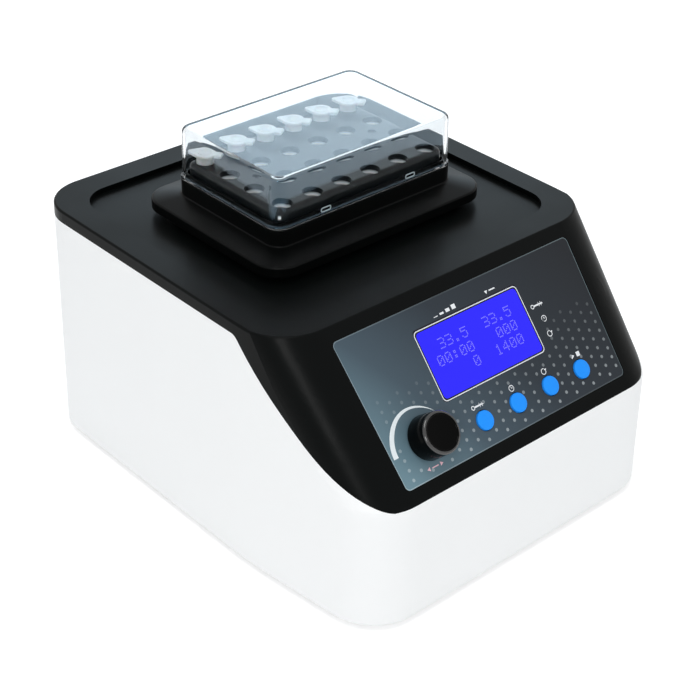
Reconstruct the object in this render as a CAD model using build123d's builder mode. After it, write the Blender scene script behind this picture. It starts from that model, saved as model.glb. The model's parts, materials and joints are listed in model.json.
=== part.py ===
from build123d import *
import os
from math import cos, radians, sin, tan

os.makedirs("parts", exist_ok=True)

# Bench thermal mixer: a heated block of microtubes on an orbital shaker, under a clear lid.
# X runs to the right of someone facing the control panel, Y to the rear, Z up.
# The origin lies on the bench, under the middle of the whole instrument. Millimetres.

# Case
case_width = 236.8  # at the base; the sides and the front lean in as they rise
case_depth = 277.6
deck_height = 148.5  # top of the deck above the bench
foot_height = 4.0
wall = 2.5
draft = 0.86  # degrees that the sides and the front lean in
front_corner = 30.0
back_corner = 27.0
side_taper = 6.2  # degrees that each side turns in towards the front
side_blend = 300.0
taper_length = 85.3  # from the front face to where the sides begin to turn in
slope_angle = 48.7
slope_run = 64.3  # from the front face back to the crease at the front of the deck
edge_round = 1.2
brow_round = 7.0  # where the slope turns down into the front face
brow_steps = 4

# Seam between the white housing and the dark cover, in side view
band_height = 7.0
seam_front_z = 74.3
seam_break = 97.0  # distance from the front face where the seam leaves the deck
seam_sag = (55.5, 104.6)  # a point on its long curve: distance from the front face, height
seam_end = 2.0
seam_round = 6.0
lip_gap = 0.2
lip_wall = 1.3
lip_depth = 3.0

# Shallow tray in the deck, and the opening that the moving table passes through
tray_depth = 3.0
tray_width = 201.0
tray_front = 80.5  # from the front face
tray_back = 17.6  # from the rear face
tray_corner = 19.0
port_margin = 4.0  # the opening outside the shroud's collar
splash_wall = 2.0
splash_height = 4.4

# Control panel on the slope; its own frame has its origin at the panel's centre
panel_offset = 7.9  # from the crease down the slope to the panel's upper edge
panel_length = 82.6
panel_top_width = 171.5
panel_bottom_width = 164.4
panel_corner = 3.0
pocket_depth = 1.2
overlay_thickness = 0.8
pad_thickness = 1.5
display_width = 75.2
display_height = 39.2
display_y = 9.5
display_corner = 2.0
fit_gap = 0.4
board_thickness = 1.6

# Push buttons
button_count = 4
button_pitch = 24.8
button_first_x = -19.3
button_y = -27.7
button_radius = 5.5
button_rise = 0.8
button_travel = 0.8
button_gap = 0.2
flange_gap = 0.3

# Rotary push knob
knob_x = -57.5
knob_y = -21.7
knob_radius = 12.0
knob_top_radius = 11.3
knob_height = 14.0
knob_edge = 1.2
knob_travel = 0.5
encoder_size = 12.4
encoder_depth = 6.5
bushing_radius = 3.5
shaft_radius = 3.0
running_gap = 0.05

# Orbital drive
orbit_radius = 1.5
block_run = 169.5  # from the front face back to the block's centre
frame_plate = 8.0
frame_size = (150.0, 112.0)
frame_z = 79.2  # top of the fixed drive frame
table_z = 101.2  # top of the moving table
table_thickness = 6.0
table_size = (140.0, 100.0)
crank_radius = 13.0
crank_thickness = 8.0
crank_pin_radius = 4.0
bearing_radius = 9.5
idler_radius = 7.0
idler_pin_radius = 3.0
idler_bearing_radius = 7.5
idler_places = ((-56.0, 30.0), (56.0, 30.0), (0.0, -36.0))
counter_radius = 27.0
motor_radius = 28.0
motor_length = 42.0

# Block of wells, heater and shroud
block_size = (119.0, 77.0)
block_top = 177.2
block_height = 42.0
block_corner = 5.0
block_edge = 3.0
well_columns = 6
well_rows = 4
well_pitch_x = 20.6
well_pitch_y = 21.0
well_radius = 5.5
well_depth = 37.0
heater_size = 40.0
heater_thickness = 4.0
sink_base = 5.0
fin_count = 13
fin_thickness = 1.6
jacket_wall = 3.3
jacket_gap = 0.2
jacket_top = 157.2
collar_top = 167.9
locating_lip = 3.0
shroud_size = (156.6, 116.4)
shroud_corner = 16.0
shroud_edge_z = 155.2
shroud_slope_top = 158.2
shroud_wall = 2.2
shroud_gap = 3.8  # over the floor of the tray

# Lid
lid_size = (128.0, 86.0)
lid_height = 29.5
lid_corner = 8.0
lid_wall = 2.0
lid_edge = 2.2
lid_draft = 1.4
lid_gap = 0.2
rim_bead = 0.6

# Microtubes
tube_radius = 5.3
tube_length = 36.0
cap_radius = 6.6

# Rear panel
fan_size = 60.0
fan_depth = 15.0
fan_x = -48.0
fan_z = 62.0
rear_x = 57.0  # centre of the sunk panel with inlet and switch
rear_z = 42.0
rear_size = (68.0, 32.0)
rear_depth = 3.0
inlet_x = 43.0
switch_x = 76.0
rocker_tilt = 9.0

# Worked out from the values above
slope = radians(slope_angle)
lean = tan(radians(draft))
front_y = (deck_height - foot_height) * lean - case_depth / 2  # the front face, taken up to the deck's level
back_y = case_depth / 2
taper_y = front_y + taper_length
crease_y = front_y + slope_run
block_y = front_y + block_run
drive_y = block_y - orbit_radius
tray_z = deck_height - tray_depth
tray_y0 = front_y + tray_front
tray_y1 = back_y - tray_back
floor_z = foot_height + wall
port_size = (lid_size[0] + 2 * port_margin, lid_size[1] + 2 * port_margin)
sink_top = block_top - block_height - heater_thickness
lid_z = collar_top + lid_gap
panel_centre = (
    0,
    crease_y - (panel_offset + panel_length / 2) * cos(slope),
    deck_height - (panel_offset + panel_length / 2) * sin(slope),
)
panel_plane = Plane(origin=panel_centre, x_dir=(1, 0, 0), z_dir=(0, -sin(slope), cos(slope)))
overlay_top = overlay_thickness - pocket_depth
pad_back = -(wall + pad_thickness)
board_front = pad_back - encoder_depth
button_places = [(button_first_x + i * button_pitch, button_y) for i in range(button_count)]
drive_centre = (0, drive_y)
block_centre = (0, block_y)


def spread(z):
    """How far the leaning walls stand outside their place at the deck's level."""
    return (deck_height - z) * lean


def side_x(y, z, inset):
    """Half width of the tapered front part of the case at a given y and z, pulled in by inset."""
    turn = radians(side_taper)
    half = case_width / 2 - (deck_height - foot_height) * lean
    return half + spread(z) - inset / cos(turn) + (y - taper_y) * tan(turn)


def plan_outline(z, inset):
    """Plan of the case: parallel sides at the rear, then turning in to the rounded front."""
    half = side_x(taper_y, z, 0)
    front = front_y - spread(z)
    half_front = side_x(front, z, 0)
    with BuildSketch(Plane.XY.offset(z)) as plan:
        with BuildLine():
            Polyline(
                (-half, back_y),
                (-half, taper_y),
                (-half_front, front),
                (half_front, front),
                (half, taper_y),
                (half, back_y),
                close=True,
            )
        make_face()
        fillet(plan.vertices().group_by(Axis.Y)[0], front_corner)
        fillet(plan.vertices().filter_by(lambda v: abs(v.Y - taper_y) < 0.01), side_blend)
        fillet(plan.vertices().group_by(Axis.Y)[-1], back_corner)
        if inset > 0:
            offset(amount=-inset, mode=Mode.REPLACE)
    return plan.sketch


def brow_points(inset):
    """Side view of the slope and the round brow under it, as (y, z) from low to high."""
    shift = inset / sin(slope)
    tilt = radians(draft)
    turn = radians(90 - slope_angle) - tilt
    fall = (slope_run + shift - inset) / (1 / tan(slope) - lean)
    radius = brow_round - inset
    reach = radius * tan(turn / 2)
    centre_y = front_y + inset - fall * lean - reach * sin(tilt) + radius * cos(tilt)
    centre_z = deck_height - fall - reach * cos(tilt) - radius * sin(tilt)
    points = []
    for i in range(1, brow_steps + 1):
        angle = tilt + turn * i / brow_steps
        points.append((centre_y - radius * cos(angle), centre_z + radius * sin(angle)))
    first_y, first_z = points[0]
    steep = tilt + turn / brow_steps / 2
    points.insert(0, (first_y - first_z * tan(steep), 0.0))
    top_z = deck_height + 5
    points.append((crease_y + shift + 5 / tan(slope), top_z))
    return points


def slope_section(y_front, z, inset):
    """Level section of the solid under the slope, with the case's own rounded front corners."""
    y_rear = back_y + 20
    with BuildSketch(Plane.XY.offset(z)) as section:
        with BuildLine():
            Polyline(
                (-side_x(y_rear, z, inset), y_rear),
                (-side_x(y_front, z, inset), y_front),
                (side_x(y_front, z, inset), y_front),
                (side_x(y_rear, z, inset), y_rear),
                close=True,
            )
        make_face()
        fillet(section.vertices().group_by(Axis.Y)[0], front_corner - inset)
    return section.sketch


def case_form(inset, bottom):
    """Solid form of the whole case, pulled in by inset, standing on the level called bottom."""
    with BuildPart() as form:
        loft([plan_outline(bottom, inset), plan_outline(deck_height - inset, inset)], ruled=True)
        sections = [slope_section(y, z, inset) for y, z in brow_points(inset)]
        loft(sections, ruled=True, mode=Mode.INTERSECT)
    return form.part


def above_seam(drop):
    """Everything above the seam between housing and cover, with the seam lowered by drop."""
    rear, front = back_y + 20, front_y - 20
    with BuildPart() as region:
        with BuildSketch(Plane.YZ) as side:
            with BuildLine():
                band = Line(
                    (rear, deck_height - band_height - drop),
                    (front_y + seam_break, deck_height - band_height - drop),
                )
                curve = ThreePointArc(
                    band @ 1,
                    (front_y + seam_sag[0], seam_sag[1] - drop),
                    (front_y + seam_end, seam_front_z - drop),
                )
                Polyline(curve @ 1, (front, seam_front_z - drop), (front, 220), (rear, 220), band @ 0)
            make_face()
            corner = side.vertices().filter_by(lambda v: abs(v.X - front_y - seam_break) < 0.01)
            fillet(corner, seam_round)
        extrude(amount=case_width, both=True)
    return region.part


def panel_outline(height, grow):
    """The panel's trapezoid with rounded corners at a height over the slope."""
    half_top = panel_top_width / 2 + grow
    half_bottom = panel_bottom_width / 2 + grow
    half = panel_length / 2 + grow
    with BuildSketch(panel_plane.offset(height)) as outline:
        with BuildLine():
            Polyline(
                (-half_bottom, -half), (half_bottom, -half), (half_top, half), (-half_top, half), close=True
            )
        make_face()
        fillet(outline.vertices(), panel_corner + grow)
    return outline.sketch


def rounded_slab(size, corner, z, height, centre):
    """A slab with rounded upright corners, its underside at z."""
    with BuildPart() as slab:
        with BuildSketch(Plane.XY.offset(z)):
            with Locations(centre):
                RectangleRounded(size[0], size[1], corner)
        extrude(amount=height)
    return slab.part


def finish(part, label):
    part.label = label
    export_step(part, f"parts/{label}.step")


# Case forms that the housing and the cover share
outer_form = case_form(0, foot_height)
inner_form = case_form(wall, floor_z)
lip_outer = case_form(wall + lip_gap, floor_z)
lip_inner = case_form(wall + lip_gap + lip_wall, floor_z)

# Columns and bosses that join the two shells: x, y and the height of the joint
boss_radius = 4.5
pilot_radius = 1.3
screw_radius = 1.5
screw_clearance = 1.7
screw_head_radius = 2.9
column_bore = 3.2
column_cap = 3.0
rear_joint_z = 122.0
front_joint_z = 62.0
column_places = (
    (-95.0, back_y - 27, rear_joint_z),
    (95.0, back_y - 27, rear_joint_z),
    (-93.0, front_y + 38, front_joint_z),
    (93.0, front_y + 38, front_joint_z),
)
foot_places = ((-80.0, front_y + 40), (80.0, front_y + 40), (-90.0, back_y - 45), (90.0, back_y - 45))
foot_radius = 9.0
foot_screw_radius = 1.9

# Lower housing: tub with floor, screw columns, vents, fan grille and sunk rear panel
inlet_cut = (27.6, 20.4)
switch_cut = (13.2, 19.4)
fan_hole_pitch = 50.0
with BuildPart() as lower_housing:
    add(outer_form)
    base_edges = lower_housing.edges().group_by(Axis.Z)[0]
    fillet(base_edges, edge_round)
    add(inner_form, mode=Mode.SUBTRACT)
    add(above_seam(0), mode=Mode.SUBTRACT)
    for x, y, z in column_places:
        with BuildSketch(Plane.XY.offset(floor_z - wall / 2)):
            with Locations((x, y)):
                Circle(boss_radius)
        extrude(amount=z - floor_z + wall / 2)
        with BuildSketch(Plane.XY.offset(foot_height)):
            with Locations((x, y)):
                Circle(column_bore)
        extrude(amount=z - column_cap - foot_height, mode=Mode.SUBTRACT)
        with BuildSketch(Plane.XY.offset(z - column_cap)):
            with Locations((x, y)):
                Circle(screw_clearance)
        extrude(amount=column_cap, mode=Mode.SUBTRACT)
    # floor vents
    with BuildSketch(Plane.XY.offset(foot_height)):
        with GridLocations(44.0, 8.0, 2, 9):
            SlotOverall(36.0, 3.2)
        for x, y in foot_places:
            with Locations((x, y)):
                Circle(foot_screw_radius + lip_gap)
    extrude(amount=wall, mode=Mode.SUBTRACT)
    # fan grille, sunk panel and its cut-outs in the rear wall
    rear_plane = Plane(origin=(0, back_y, 0), x_dir=(-1, 0, 0), z_dir=(0, 1, 0))
    with BuildSketch(rear_plane.offset(-wall - rear_depth)):
        with Locations((-rear_x, rear_z)):
            RectangleRounded(rear_size[0] + 2 * wall, rear_size[1] + 2 * wall, 4.0)
    extrude(amount=rear_depth + wall / 2)
    with BuildSketch(rear_plane):
        with Locations((-rear_x, rear_z)):
            RectangleRounded(rear_size[0], rear_size[1], 2.0)
    extrude(amount=-rear_depth, mode=Mode.SUBTRACT)
    with BuildSketch(rear_plane):
        with Locations((-inlet_x, rear_z)):
            Rectangle(*inlet_cut)
        with Locations((-switch_x, rear_z)):
            Rectangle(*switch_cut)
        with Locations((-fan_x, fan_z)):
            with GridLocations(27.0, 6.0, 2, 9):
                SlotOverall(24.0, 3.0)
            with GridLocations(fan_hole_pitch, fan_hole_pitch, 2, 2):
                Circle(screw_clearance)
    extrude(amount=-wall - rear_depth, mode=Mode.SUBTRACT)
    with BuildSketch(rear_plane):
        with Locations((-fan_x, fan_z)):
            with GridLocations(fan_hole_pitch, fan_hole_pitch, 2, 2):
                Circle(screw_head_radius + lip_gap)
    extrude(amount=-0.8, mode=Mode.SUBTRACT)
finish(lower_housing.part, "lower_housing")

# Top cover: deck with tray, band, slope with panel pocket, locating lip and bosses
post_radius = 2.6
board_post_places = ((-72.0, -16.5), (-72.0, -36.5), (72.0, -16.5), (72.0, -36.5))
display_post_places = ((-44.0, 28.0), (44.0, 28.0), (-44.0, -6.0), (44.0, -6.0))
display_back = pad_back - 5.0
with BuildPart() as cover_bosses:
    for x, y, z in column_places:
        with BuildSketch(Plane.XY.offset(z)):
            with Locations((x, y)):
                Circle(boss_radius - 0.5)
        extrude(amount=deck_height - z)
    add(outer_form, mode=Mode.INTERSECT)
    for x, y, z in column_places:
        with BuildSketch(Plane.XY.offset(z)):
            with Locations((x, y)):
                Circle(pilot_radius)
        extrude(amount=12.0, mode=Mode.SUBTRACT)
with BuildPart() as lip_root:
    add(case_form(wall / 2, floor_z))
    add(lip_inner, mode=Mode.SUBTRACT)
    add(above_seam(0), mode=Mode.INTERSECT)
    add(above_seam(-lip_depth), mode=Mode.SUBTRACT)
with BuildPart() as cover_lip:
    add(lip_outer)
    add(lip_inner, mode=Mode.SUBTRACT)
    add(above_seam(lip_depth), mode=Mode.INTERSECT)
    add(above_seam(-lip_depth), mode=Mode.SUBTRACT)
    add(lip_root.part)
with BuildPart() as top_cover:
    add(outer_form)
    deck_edges = top_cover.edges().group_by(Axis.Z)[-1]
    fillet(deck_edges, edge_round)
    add(inner_form, mode=Mode.SUBTRACT)
    add(above_seam(0), mode=Mode.INTERSECT)
    add(cover_lip.part)
    tray_centre = (0, (tray_y0 + tray_y1) / 2)
    tray_size = (tray_width, tray_y1 - tray_y0)
    tray_outer = (tray_size[0] + 2 * wall, tray_size[1] + 2 * wall)
    add(rounded_slab(tray_outer, tray_corner + wall, tray_z - wall, tray_depth + wall / 2, tray_centre))
    add(cover_bosses.part)
    add(rounded_slab(tray_size, tray_corner, tray_z, tray_depth + 1, tray_centre), mode=Mode.SUBTRACT)
    splash_size = (port_size[0] + 2 * splash_wall, port_size[1] + 2 * splash_wall)
    splash_corner = lid_corner + port_margin + splash_wall
    add(rounded_slab(splash_size, splash_corner, tray_z - 1, splash_height + 1, drive_centre))
    port_corner = lid_corner + port_margin
    add(rounded_slab(port_size, port_corner, tray_z - 10, 20, drive_centre), mode=Mode.SUBTRACT)
    # slope: backing pad, board posts, panel pocket and its openings
    extrude(panel_outline(pad_back, 1.5), amount=pad_thickness + wall / 2)
    with BuildSketch(panel_plane.offset(board_front)):
        with Locations(*board_post_places):
            Circle(post_radius)
    extrude(amount=encoder_depth + pad_thickness / 2)
    with BuildSketch(panel_plane.offset(display_back)):
        with Locations(*display_post_places):
            Circle(post_radius)
    extrude(amount=pad_back - display_back + pad_thickness / 2)
    extrude(panel_outline(0, 0), amount=-pocket_depth, mode=Mode.SUBTRACT)
    with BuildSketch(panel_plane):
        with Locations((0, display_y)):
            RectangleRounded(display_width + fit_gap, display_height + fit_gap, display_corner)
        with Locations(*button_places):
            Circle(button_radius + button_gap)
        with Locations((knob_x, knob_y)):
            Circle(bushing_radius + lip_gap)
    extrude(amount=pad_back, mode=Mode.SUBTRACT)
    with BuildSketch(panel_plane.offset(board_front)):
        with Locations(*board_post_places):
            Circle(1.0)
    extrude(amount=encoder_depth - 1, mode=Mode.SUBTRACT)
    with BuildSketch(panel_plane.offset(display_back)):
        with Locations(*display_post_places):
            Circle(1.0)
    extrude(amount=4.0, mode=Mode.SUBTRACT)
finish(top_cover.part, "top_cover")

# Steel plate on the housing floor that carries the drive and the electronics
chassis_size = (176.0, case_depth - 34)
chassis_thickness = 2.0
chassis_top = floor_z + chassis_thickness
chassis_centre = (0, (front_y + back_y) / 2)
frame_post_places = [(sx * (frame_size[0] / 2 - 9), drive_y + sy * (frame_size[1] / 2 - 9))
                     for sx in (-1, 1) for sy in (-1, 1)]
main_board_size = (60.0, 62.0)
main_board_centre = (52.0, front_y + 72)
main_board_z = chassis_top + 6
standoff_pitch = (main_board_size[0] - 8, main_board_size[1] - 8)
standoff_radius = 2.6
standoff_pin = 1.4
with BuildPart() as chassis_plate:
    with BuildSketch(Plane.XY.offset(floor_z)) as plate:
        with Locations(chassis_centre):
            RectangleRounded(chassis_size[0], chassis_size[1], 12)
        for x, y, z in column_places:
            with Locations((x, y)):
                Circle(boss_radius + 1, mode=Mode.SUBTRACT)
        with GridLocations(44.0, 8.0, 2, 9):
            SlotOverall(36.0, 3.2, mode=Mode.SUBTRACT)
        for x, y in foot_places:
            with Locations((x, y)):
                Circle(foot_screw_radius + lip_gap, mode=Mode.SUBTRACT)
        with Locations(*frame_post_places):
            Circle(screw_clearance, mode=Mode.SUBTRACT)
    extrude(amount=chassis_thickness)
    for radius, top in ((standoff_radius, main_board_z), (standoff_pin, main_board_z + board_thickness + 1)):
        with BuildSketch(Plane.XY.offset(chassis_top)):
            with Locations(main_board_centre):
                with GridLocations(*standoff_pitch, 2, 2):
                    Circle(radius)
        extrude(amount=top - chassis_top)
finish(chassis_plate.part, "chassis_plate")

# Rubber feet, each with a sunk screw
foot_sink = 2.2
foot_head_radius = 3.4
for i, (x, y) in enumerate(foot_places, 1):
    with BuildPart() as rubber_foot:
        with BuildSketch():
            with Locations((x, y)):
                Circle(foot_radius)
        extrude(amount=foot_height)
        fillet(rubber_foot.edges().group_by(Axis.Z)[0], 1.0)
        with BuildSketch():
            with Locations((x, y)):
                Circle(foot_head_radius + lip_gap)
        extrude(amount=foot_sink, mode=Mode.SUBTRACT)
        with BuildSketch():
            with Locations((x, y)):
                Circle(foot_screw_radius)
        extrude(amount=foot_height, mode=Mode.SUBTRACT)
    finish(rubber_foot.part, f"rubber_foot_{i}")

# Screws seen from below: four hold the feet and the plate, four join the shells
foot_screw_length = 9.0
case_screw_length = 12.0
with BuildPart() as base_screws:
    for x, y in foot_places:
        with BuildSketch(Plane.XY.offset(foot_sink - 1.6)):
            with Locations((x, y)):
                Circle(foot_head_radius)
        extrude(amount=1.6)
        with BuildSketch(Plane.XY.offset(foot_sink)):
            with Locations((x, y)):
                Circle(foot_screw_radius)
        extrude(amount=foot_screw_length)
    for x, y, z in column_places:
        with BuildSketch(Plane.XY.offset(z - column_cap - 2.0)):
            with Locations((x, y)):
                Circle(screw_head_radius)
        extrude(amount=2.0)
        with BuildSketch(Plane.XY.offset(z - column_cap)):
            with Locations((x, y)):
                Circle(pilot_radius)
        extrude(amount=case_screw_length)
finish(base_screws.part, "base_screws")

# Control panel overlay
with BuildPart() as control_panel:
    extrude(panel_outline(-pocket_depth, -lip_gap), amount=overlay_thickness)
    with BuildSketch(panel_plane):
        with Locations((0, display_y)):
            RectangleRounded(display_width + fit_gap, display_height + fit_gap, display_corner)
        with Locations(*button_places):
            Circle(button_radius + button_gap)
        with Locations((knob_x, knob_y)):
            Circle(6.4)
    extrude(amount=-pocket_depth, mode=Mode.SUBTRACT)
finish(control_panel.part, "control_panel")

# Display: glass in the window, frame and board behind it
glass_back = pad_back - 3.0
with BuildPart() as lcd_glass:
    with BuildSketch(panel_plane.offset(glass_back)):
        with Locations((0, display_y)):
            RectangleRounded(display_width, display_height, display_corner - lip_gap)
    extrude(amount=overlay_top - 0.05 - glass_back)
finish(lcd_glass.part, "lcd_glass")

with BuildPart() as lcd_frame:
    with BuildSketch(panel_plane.offset(display_back)):
        with Locations((0, display_y)):
            Rectangle(display_width + 6, display_height + 6)
    extrude(amount=pad_back - display_back)
    with BuildSketch(panel_plane.offset(glass_back)):
        with Locations((0, display_y)):
            RectangleRounded(display_width + lip_gap, display_height + lip_gap, display_corner)
    extrude(amount=pad_back - glass_back, mode=Mode.SUBTRACT)
finish(lcd_frame.part, "lcd_frame")

with BuildPart() as lcd_board:
    with BuildSketch(panel_plane.offset(display_back - board_thickness)):
        with Locations((0, display_y)):
            Rectangle(96, 44)
        with Locations(*display_post_places):
            Circle(1.3, mode=Mode.SUBTRACT)
    extrude(amount=board_thickness)
finish(lcd_board.part, "lcd_board")

# Board behind the buttons and the knob, with its switches
board_centre = (0, -26.8)
board_size = (154.0, 28.0)
with BuildPart() as control_board:
    with BuildSketch(panel_plane.offset(board_front - board_thickness)):
        with Locations(board_centre):
            Rectangle(*board_size)
        with Locations(*board_post_places):
            Circle(1.3, mode=Mode.SUBTRACT)
    extrude(amount=board_thickness)
finish(control_board.part, "control_board")

switch_height = 4.2
with BuildPart() as tact_switches:
    with BuildSketch(panel_plane.offset(board_front)):
        with Locations(*button_places):
            Rectangle(6, 6)
    extrude(amount=switch_height - 0.9)
    with BuildSketch(panel_plane.offset(board_front + switch_height - 0.9)):
        with Locations(*button_places):
            Circle(1.7)
    extrude(amount=0.9)
finish(tact_switches.part, "tact_switches")

with BuildPart() as panel_screws:
    for places, back in ((board_post_places, board_front), (display_post_places, display_back)):
        with BuildSketch(panel_plane.offset(back - board_thickness - 1.5)):
            with Locations(*places):
                Circle(2.2)
        extrude(amount=1.5)
        with BuildSketch(panel_plane.offset(back - board_thickness)):
            with Locations(*places):
                Circle(1.0)
        extrude(amount=board_thickness + 3.5)
finish(panel_screws.part, "panel_screws")

# Push buttons: cap through the panel, flange behind the pad, short stem to the switch
for i, place in enumerate(button_places, 1):
    with BuildPart() as button:
        with BuildSketch(panel_plane.offset(pad_back - flange_gap)):
            with Locations(place):
                Circle(button_radius)
        extrude(amount=button_rise - pad_back + flange_gap)
        fillet(button.edges().sort_by(lambda e: panel_plane.to_local_coords(e.center()).Z)[-1], 0.5)
        with BuildSketch(panel_plane.offset(pad_back - flange_gap - 1.0)):
            with Locations(place):
                Circle(button_radius + 1.3)
        extrude(amount=1.0)
    finish(button.part, f"button_{i}")

# Rotary encoder: body with bushing, nut, rotor ring, shaft
rotor_radius = 4.6
rotor_depth = 2.2
with BuildPart() as encoder_body:
    with BuildSketch(panel_plane.offset(board_front)):
        with Locations((knob_x, knob_y)):
            Rectangle(encoder_size, encoder_size)
    extrude(amount=encoder_depth)
    with BuildSketch(panel_plane.offset(pad_back)):
        with Locations((knob_x, knob_y)):
            Circle(bushing_radius)
    extrude(amount=2.0 - pad_back)
    with BuildSketch(panel_plane.offset(board_front + 1.0)):
        with Locations((knob_x, knob_y)):
            Circle(rotor_radius + running_gap)
    extrude(amount=rotor_depth + 1.0, mode=Mode.SUBTRACT)
    with BuildSketch(panel_plane.offset(board_front + 1.0)):
        with Locations((knob_x, knob_y)):
            Circle(shaft_radius + running_gap)
    extrude(amount=20.0, mode=Mode.SUBTRACT)
finish(encoder_body.part, "encoder_body")

with BuildPart() as encoder_nut:
    with BuildSketch(panel_plane.offset(-pocket_depth)):
        with Locations((knob_x, knob_y)):
            RegularPolygon(5.6, 6)
            Circle(bushing_radius, mode=Mode.SUBTRACT)
    extrude(amount=2.0)
finish(encoder_nut.part, "encoder_nut")

rotor_back = board_front + 1.4
with BuildPart() as encoder_rotor:
    with BuildSketch(panel_plane.offset(rotor_back)):
        with Locations((knob_x, knob_y)):
            Circle(rotor_radius)
            Circle(shaft_radius - 0.8 + running_gap, mode=Mode.SUBTRACT)
    extrude(amount=rotor_depth)
finish(encoder_rotor.part, "encoder_rotor")

shaft_top = 11.0
with BuildPart() as encoder_shaft:
    with BuildSketch(panel_plane.offset(rotor_back + 0.3)):
        with Locations((knob_x, knob_y)):
            Circle(shaft_radius - 0.8)
    extrude(amount=shaft_top - rotor_back - 0.3)
    with BuildSketch(panel_plane.offset(rotor_back + rotor_depth + knob_travel + 0.3)):
        with Locations((knob_x, knob_y)):
            Circle(shaft_radius)
    extrude(amount=shaft_top - rotor_back - rotor_depth - knob_travel - 0.3)
finish(encoder_shaft.part, "encoder_shaft")

# Knob: slightly tapered, rounded rim, hollow underneath for the nut
knob_base = overlay_top + knob_travel + 0.2
with BuildPart() as control_knob:
    with BuildSketch(panel_plane.offset(knob_base)):
        with Locations((knob_x, knob_y)):
            Circle(knob_radius)
    with BuildSketch(panel_plane.offset(knob_height)):
        with Locations((knob_x, knob_y)):
            Circle(knob_top_radius)
    loft()
    fillet(control_knob.edges().sort_by(lambda e: panel_plane.to_local_coords(e.center()).Z)[-1], knob_edge)
    with BuildSketch(panel_plane.offset(knob_base)):
        with Locations((knob_x, knob_y)):
            Circle(knob_radius - 3.0)
    extrude(amount=4.5, mode=Mode.SUBTRACT)
    with BuildSketch(panel_plane.offset(knob_base)):
        with Locations((knob_x, knob_y)):
            Circle(shaft_radius)
    extrude(amount=shaft_top - knob_base, mode=Mode.SUBTRACT)
finish(control_knob.part, "control_knob")

# Drive frame: plate on four posts, with bearings for the main shaft and the idlers
idler_spots = [(x, drive_y + y) for x, y in idler_places]
motor_bolt_radius = 20.0
with BuildPart() as drive_frame:
    with BuildSketch(Plane.XY.offset(frame_z - frame_plate)):
        with Locations(drive_centre):
            RectangleRounded(frame_size[0], frame_size[1], 8)
            Circle(bearing_radius, mode=Mode.SUBTRACT)
            with PolarLocations(motor_bolt_radius, 4, start_angle=45):
                Circle(screw_clearance, mode=Mode.SUBTRACT)
        with Locations(*idler_spots):
            Circle(idler_bearing_radius, mode=Mode.SUBTRACT)
        with Locations(*frame_post_places):
            Circle(screw_clearance, mode=Mode.SUBTRACT)
        with Locations((-38, drive_y - 30), (38, drive_y - 30)):
            RectangleRounded(24, 20, 4, mode=Mode.SUBTRACT)
    extrude(amount=frame_plate)
finish(drive_frame.part, "drive_frame")

with BuildPart() as frame_posts:
    with BuildSketch(Plane.XY.offset(chassis_top)):
        with Locations(*frame_post_places):
            Circle(6)
    extrude(amount=frame_z - frame_plate - chassis_top)
    with BuildSketch(Plane.XY.offset(frame_z - frame_plate)):
        with Locations(*frame_post_places):
            Circle(screw_radius)
    extrude(amount=-12, mode=Mode.SUBTRACT)
finish(frame_posts.part, "frame_posts")

with BuildPart() as frame_screws:
    with BuildSketch(Plane.XY.offset(frame_z)):
        with Locations(*frame_post_places):
            Circle(screw_head_radius)
        with Locations(drive_centre):
            with PolarLocations(motor_bolt_radius, 4, start_angle=45):
                Circle(screw_head_radius)
    extrude(amount=2)
    with BuildSketch(Plane.XY.offset(frame_z)):
        with Locations(*frame_post_places):
            Circle(screw_radius)
        with Locations(drive_centre):
            with PolarLocations(motor_bolt_radius, 4, start_angle=45):
                Circle(screw_radius)
    extrude(amount=-frame_plate - 5)
finish(frame_screws.part, "frame_screws")

bearing_width = 6.0
with BuildPart() as frame_bearings:
    with BuildSketch(Plane.XY.offset(frame_z - bearing_width)):
        with Locations(drive_centre):
            Circle(bearing_radius)
            Circle(crank_pin_radius + running_gap, mode=Mode.SUBTRACT)
        with Locations(*idler_spots):
            Circle(idler_bearing_radius)
            Circle(idler_pin_radius + running_gap, mode=Mode.SUBTRACT)
    extrude(amount=bearing_width)
finish(frame_bearings.part, "frame_bearings")

motor_top = frame_z - frame_plate
with BuildPart() as motor:
    with BuildSketch(Plane.XY.offset(motor_top - motor_length)):
        with Locations(drive_centre):
            Circle(motor_radius)
    extrude(amount=motor_length)
    fillet(motor.edges().group_by(Axis.Z)[0], 3)
    with BuildSketch(Plane.XY.offset(motor_top - 24)):
        with Locations(drive_centre):
            Circle(crank_pin_radius + 0.3)
    extrude(amount=24, mode=Mode.SUBTRACT)
    with BuildSketch(Plane.XY.offset(motor_top)):
        with Locations(drive_centre):
            with PolarLocations(motor_bolt_radius, 4, start_angle=45):
                Circle(screw_radius)
    extrude(amount=-6, mode=Mode.SUBTRACT)
finish(motor.part, "motor")

# Main shaft with its crank disc and offset pin, and the counterweight that balances the table
crank_z = frame_z + 2.4
pin_top = table_z - 0.5
with BuildPart() as drive_shaft:
    with BuildSketch(Plane.XY.offset(motor_top - 20)):
        with Locations(drive_centre):
            Circle(crank_pin_radius)
    extrude(amount=crank_z - motor_top + 20)
    with BuildSketch(Plane.XY.offset(crank_z)):
        with Locations(drive_centre):
            Circle(crank_radius)
    extrude(amount=crank_thickness)
    with BuildSketch(Plane.XY.offset(crank_z + crank_thickness)):
        with Locations(block_centre):
            Circle(crank_pin_radius)
    extrude(amount=pin_top - crank_z - crank_thickness)
finish(drive_shaft.part, "drive_shaft")

with BuildPart() as counterweight:
    with BuildSketch(Plane.XY.offset(crank_z)):
        with Locations(drive_centre):
            Circle(counter_radius)
            Circle(crank_radius, mode=Mode.SUBTRACT)
        with Locations((0, drive_y + counter_radius)):
            Rectangle(4 * counter_radius, 2 * counter_radius, mode=Mode.SUBTRACT)
    extrude(amount=crank_thickness)
finish(counterweight.part, "counterweight")

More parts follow.
